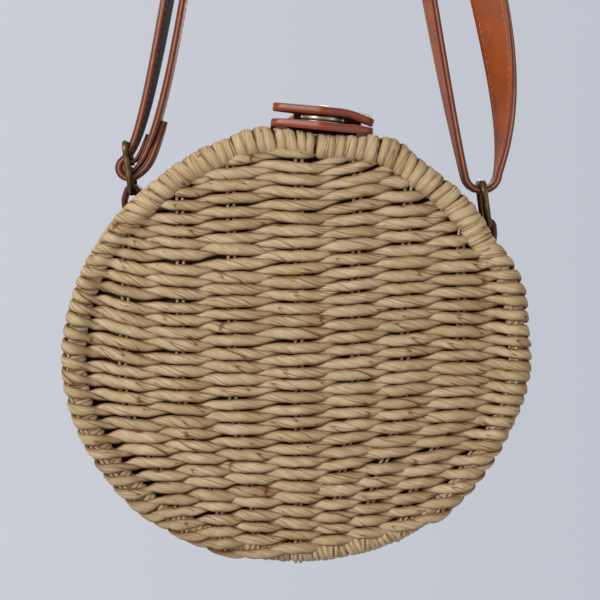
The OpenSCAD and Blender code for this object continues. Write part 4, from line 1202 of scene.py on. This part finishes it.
class CIRCLEBAG_OT_strap(bpy.types.Operator):
    """Run the leather strap twice over the hanging point, through the ring and back to the slider"""
    bl_idname = "circle_bag.strap"
    bl_label = "Doubled strap"

    def execute(self, context):
        leather = context.scene.bag_leather
        places, thick, twist, counts = strap_route()
        n, side = len(places), np.array([0, 1, 0])
        path = xyz(places[:, 0], 0, places[:, 1])
        way = unit(np.gradient(path, axis=0))
        flat = xyz(way[:, 2], 0, -way[:, 0])
        turn = np.radians(twist)[:, None]
        across = flat * np.sin(turn) + side * np.cos(turn)
        through = flat * np.cos(turn) - side * np.sin(turn)
        section, slots, tone = band_section(STRAP_W, 1.0, 0.16)
        # Each end is rounded over its last five steps
        narrow = np.sqrt(np.clip((from_ends(n) + 0.6) / 5.6, 0, 1))
        rings = path[:, None] + across[:, None] * section[:, :1] * narrow[:, None, None] \
            + through[:, None] * section[:, 1:] * thick[:, None, None]
        # The side of the live leg that faces the rising one is painted dark and dull, as shade
        start, end = sum(counts[:8]), sum(counts[:9])
        rubbed = smooth(np.arange(n), start, start + 12) * (1 - smooth(np.arange(n), end - 6, end))
        tones = np.tile(tone, (n, 1))
        tones[:, (section[:, 1] < -0.49) & (np.abs(section[:, 0]) < STRAP_W / 2 - 0.1)] = rubbed[:, None]
        tubes, stitches = Tubes(), Tubes()
        tubes.sweep(rings, run_along(path), tones, slots=slots)
        settle(tubes.build("strap_leather_band", upright, "strap", "edge"), "strap", "shoulder_strap")
        inset = STRAP_W / 2 - leather.stitch_inset / MM
        # Sewn from above the slider's fold down to where the tail leaves it
        sewn = slice(counts[0] + counts[1] + 20, n - counts[-1] - counts[-2] - 4)
        for edge in (-1, 1):
            for face in (-1, 1):
                line = path + across * edge * inset + through * face * (thick[:, None] / 2)
                stitch_line(stitches, line[sewn], (through * face)[sewn], leather.stitch / MM * 1.2)
        thread = stitches.build("strap_stitches", upright, "thread")
        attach(thread, "strap")
        return {"FINISHED"}


# Stage

FLOOR_R, FLOOR_Z, BACKDROP = 0.45, -0.62, "#c8cad2"
# The bag's middle from the hanging point, in metres
MIDDLE = Vector((-0.0008, 0, -0.3605))
# Place from the middle, size in metres and power in watts
LAMPS = (("key_lamp", (-1.0, -0.92, 0.55), 0.7, 16.4), ("fill_lamp", (1.0, -0.9, -0.1), 0.9, 3.2),
         ("back_lamp", (0.3, 1.1, 0.5), 0.8, 6.0))
# The camera's sensor in millimetres, its distance and height from the bag's front, and the width it sees
SENSOR, DISTANCE, RAISED, FRONT, SEEN = 36, 0.85, 0.055, 0.030, 0.2436


def aimed(name, data, spot, target):
    """Puts a lamp or a camera in the scene, turned to its target."""
    made = bpy.data.objects.new(name, data)
    made.location = spot
    made.rotation_euler = (target - spot).to_track_quat("-Z", "Y").to_euler()
    bpy.context.scene.collection.objects.link(made)
    return made


class CIRCLEBAG_OT_stage(bpy.types.Operator):
    """Set up the pale floor, the soft lamps, the world and the camera"""
    bl_idname = "circle_bag.stage"
    bl_label = "Stage and camera"

    def execute(self, context):
        scene = context.scene
        scene.view_settings.view_transform = "Standard"
        pale = (*linear(BACKDROP), 1)
        material, tree = new_material("Studio floor, matt")
        rays = node(tree, "LightPath")
        matt = node(tree, "BsdfDiffuse", {"Color": pale})
        shine = node(tree, "Emission", {"Color": pale, "Strength": 1.0})
        half = node(tree, "Math", {0: rays.outputs["Is Camera Ray"], 1: 0.5}, {"operation": "MULTIPLY"})
        mixed = node(tree, "MixShader", {0: half, 1: matt, 2: shine})
        node(tree, "OutputMaterial", {"Surface": mixed})
        floor = bpy.data.meshes.new("studio_floor")
        floor.from_pydata([(FLOOR_R * math.cos(t), FLOOR_R * math.sin(t), FLOOR_Z) for t in circle(96)],
                          [], [list(range(96))])
        floor.materials.append(material)
        ground = bpy.data.objects.new("studio_floor", floor)
        scene.collection.objects.link(ground)

        world = bpy.data.worlds.new("Studio")
        scene.world = world
        world.use_nodes = True
        tree = world.node_tree
        tree.nodes.clear()
        split = node(tree, "SeparateXYZ", {0: node(tree, "TexCoord").outputs["Generated"]})
        across = node(tree, "MapRange", {"Value": split.outputs["X"], "From Min": -0.16, "From Max": 0.16})
        shade = node(tree, "ValToRGB", {"Fac": across},
                     stops=[(0.0, linear("#ccced6")), (1.0, linear("#bfc4ce"))])
        rays = node(tree, "LightPath").outputs
        seen = rays["Is Camera Ray"]
        for other in ("Is Glossy Ray", "Is Transmission Ray"):
            seen = node(tree, "Math", {0: seen, 1: rays[other]}, {"operation": "MAXIMUM"})
        ambient = node(tree, "Background", {"Color": (*linear("#e9e0d2"), 1), "Strength": 0.55})
        backdrop = node(tree, "Background", {"Color": shade, "Strength": 1.0})
        mixed = node(tree, "MixShader", {0: seen, 1: ambient, 2: backdrop})
        node(tree, "OutputWorld", {"Surface": mixed})

        for name, spot, size, power in LAMPS:
            lamp = bpy.data.lights.new(name, "AREA")
            lamp.energy, lamp.size = power, size
            aimed(name, lamp, MIDDLE + Vector(spot), MIDDLE)

        camera = bpy.data.cameras.new("photo_camera")
        camera.sensor_width, camera.lens = SENSOR, SENSOR * DISTANCE / SEEN
        camera.dof.use_dof = False
        front = MIDDLE - Vector((0, FRONT, 0))
        scene.camera = aimed("photo_camera", camera, front + Vector((0, -DISTANCE, RAISED)), front)
        return {"FINISHED"}


OPERATORS = (CIRCLEBAG_OT_stage, CIRCLEBAG_OT_walls, CIRCLEBAG_OT_gusset, CIRCLEBAG_OT_bindings,
             CIRCLEBAG_OT_lining, CIRCLEBAG_OT_closure, CIRCLEBAG_OT_snap, CIRCLEBAG_OT_tabs,
             CIRCLEBAG_OT_metalwork, CIRCLEBAG_OT_strap)


class CIRCLEBAG_PT_parts(bpy.types.Panel):
    """Lists the bag's pieces and their settings"""
    bl_idname = "CIRCLEBAG_PT_parts"
    bl_label = "Circle bag"
    bl_space_type = "VIEW_3D"
    bl_region_type = "UI"
    bl_category = "Circle bag"

    def draw(self, context):
        for operator in OPERATORS:
            self.layout.operator(operator.bl_idname)
        for group in (context.scene.bag_weave, context.scene.bag_leather, context.scene.bag_metal):
            box = self.layout.box()
            for key in group.bl_rna.properties.keys():
                if key not in ("name", "rna_type"):
                    box.prop(group, key)


CLASSES = (WeaveSettings, LeatherSettings, MetalSettings, *OPERATORS, CIRCLEBAG_PT_parts)


def register():
    for made in CLASSES:
        bpy.utils.register_class(made)
    bpy.types.Scene.bag_weave = PointerProperty(type=WeaveSettings)
    bpy.types.Scene.bag_leather = PointerProperty(type=LeatherSettings)
    bpy.types.Scene.bag_metal = PointerProperty(type=MetalSettings)


def unregister():
    for name in ("bag_weave", "bag_leather", "bag_metal"):
        delattr(bpy.types.Scene, name)
    for made in reversed(CLASSES):
        bpy.utils.unregister_class(made)


def main():
    """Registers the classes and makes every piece."""
    register()
    make_materials(bpy.context.scene)
    for operator in OPERATORS:
        group, name = operator.bl_idname.split(".")
        getattr(getattr(bpy.ops, group), name)()
    bpy.context.view_layer.update()


if __name__ == "__main__":
    main()
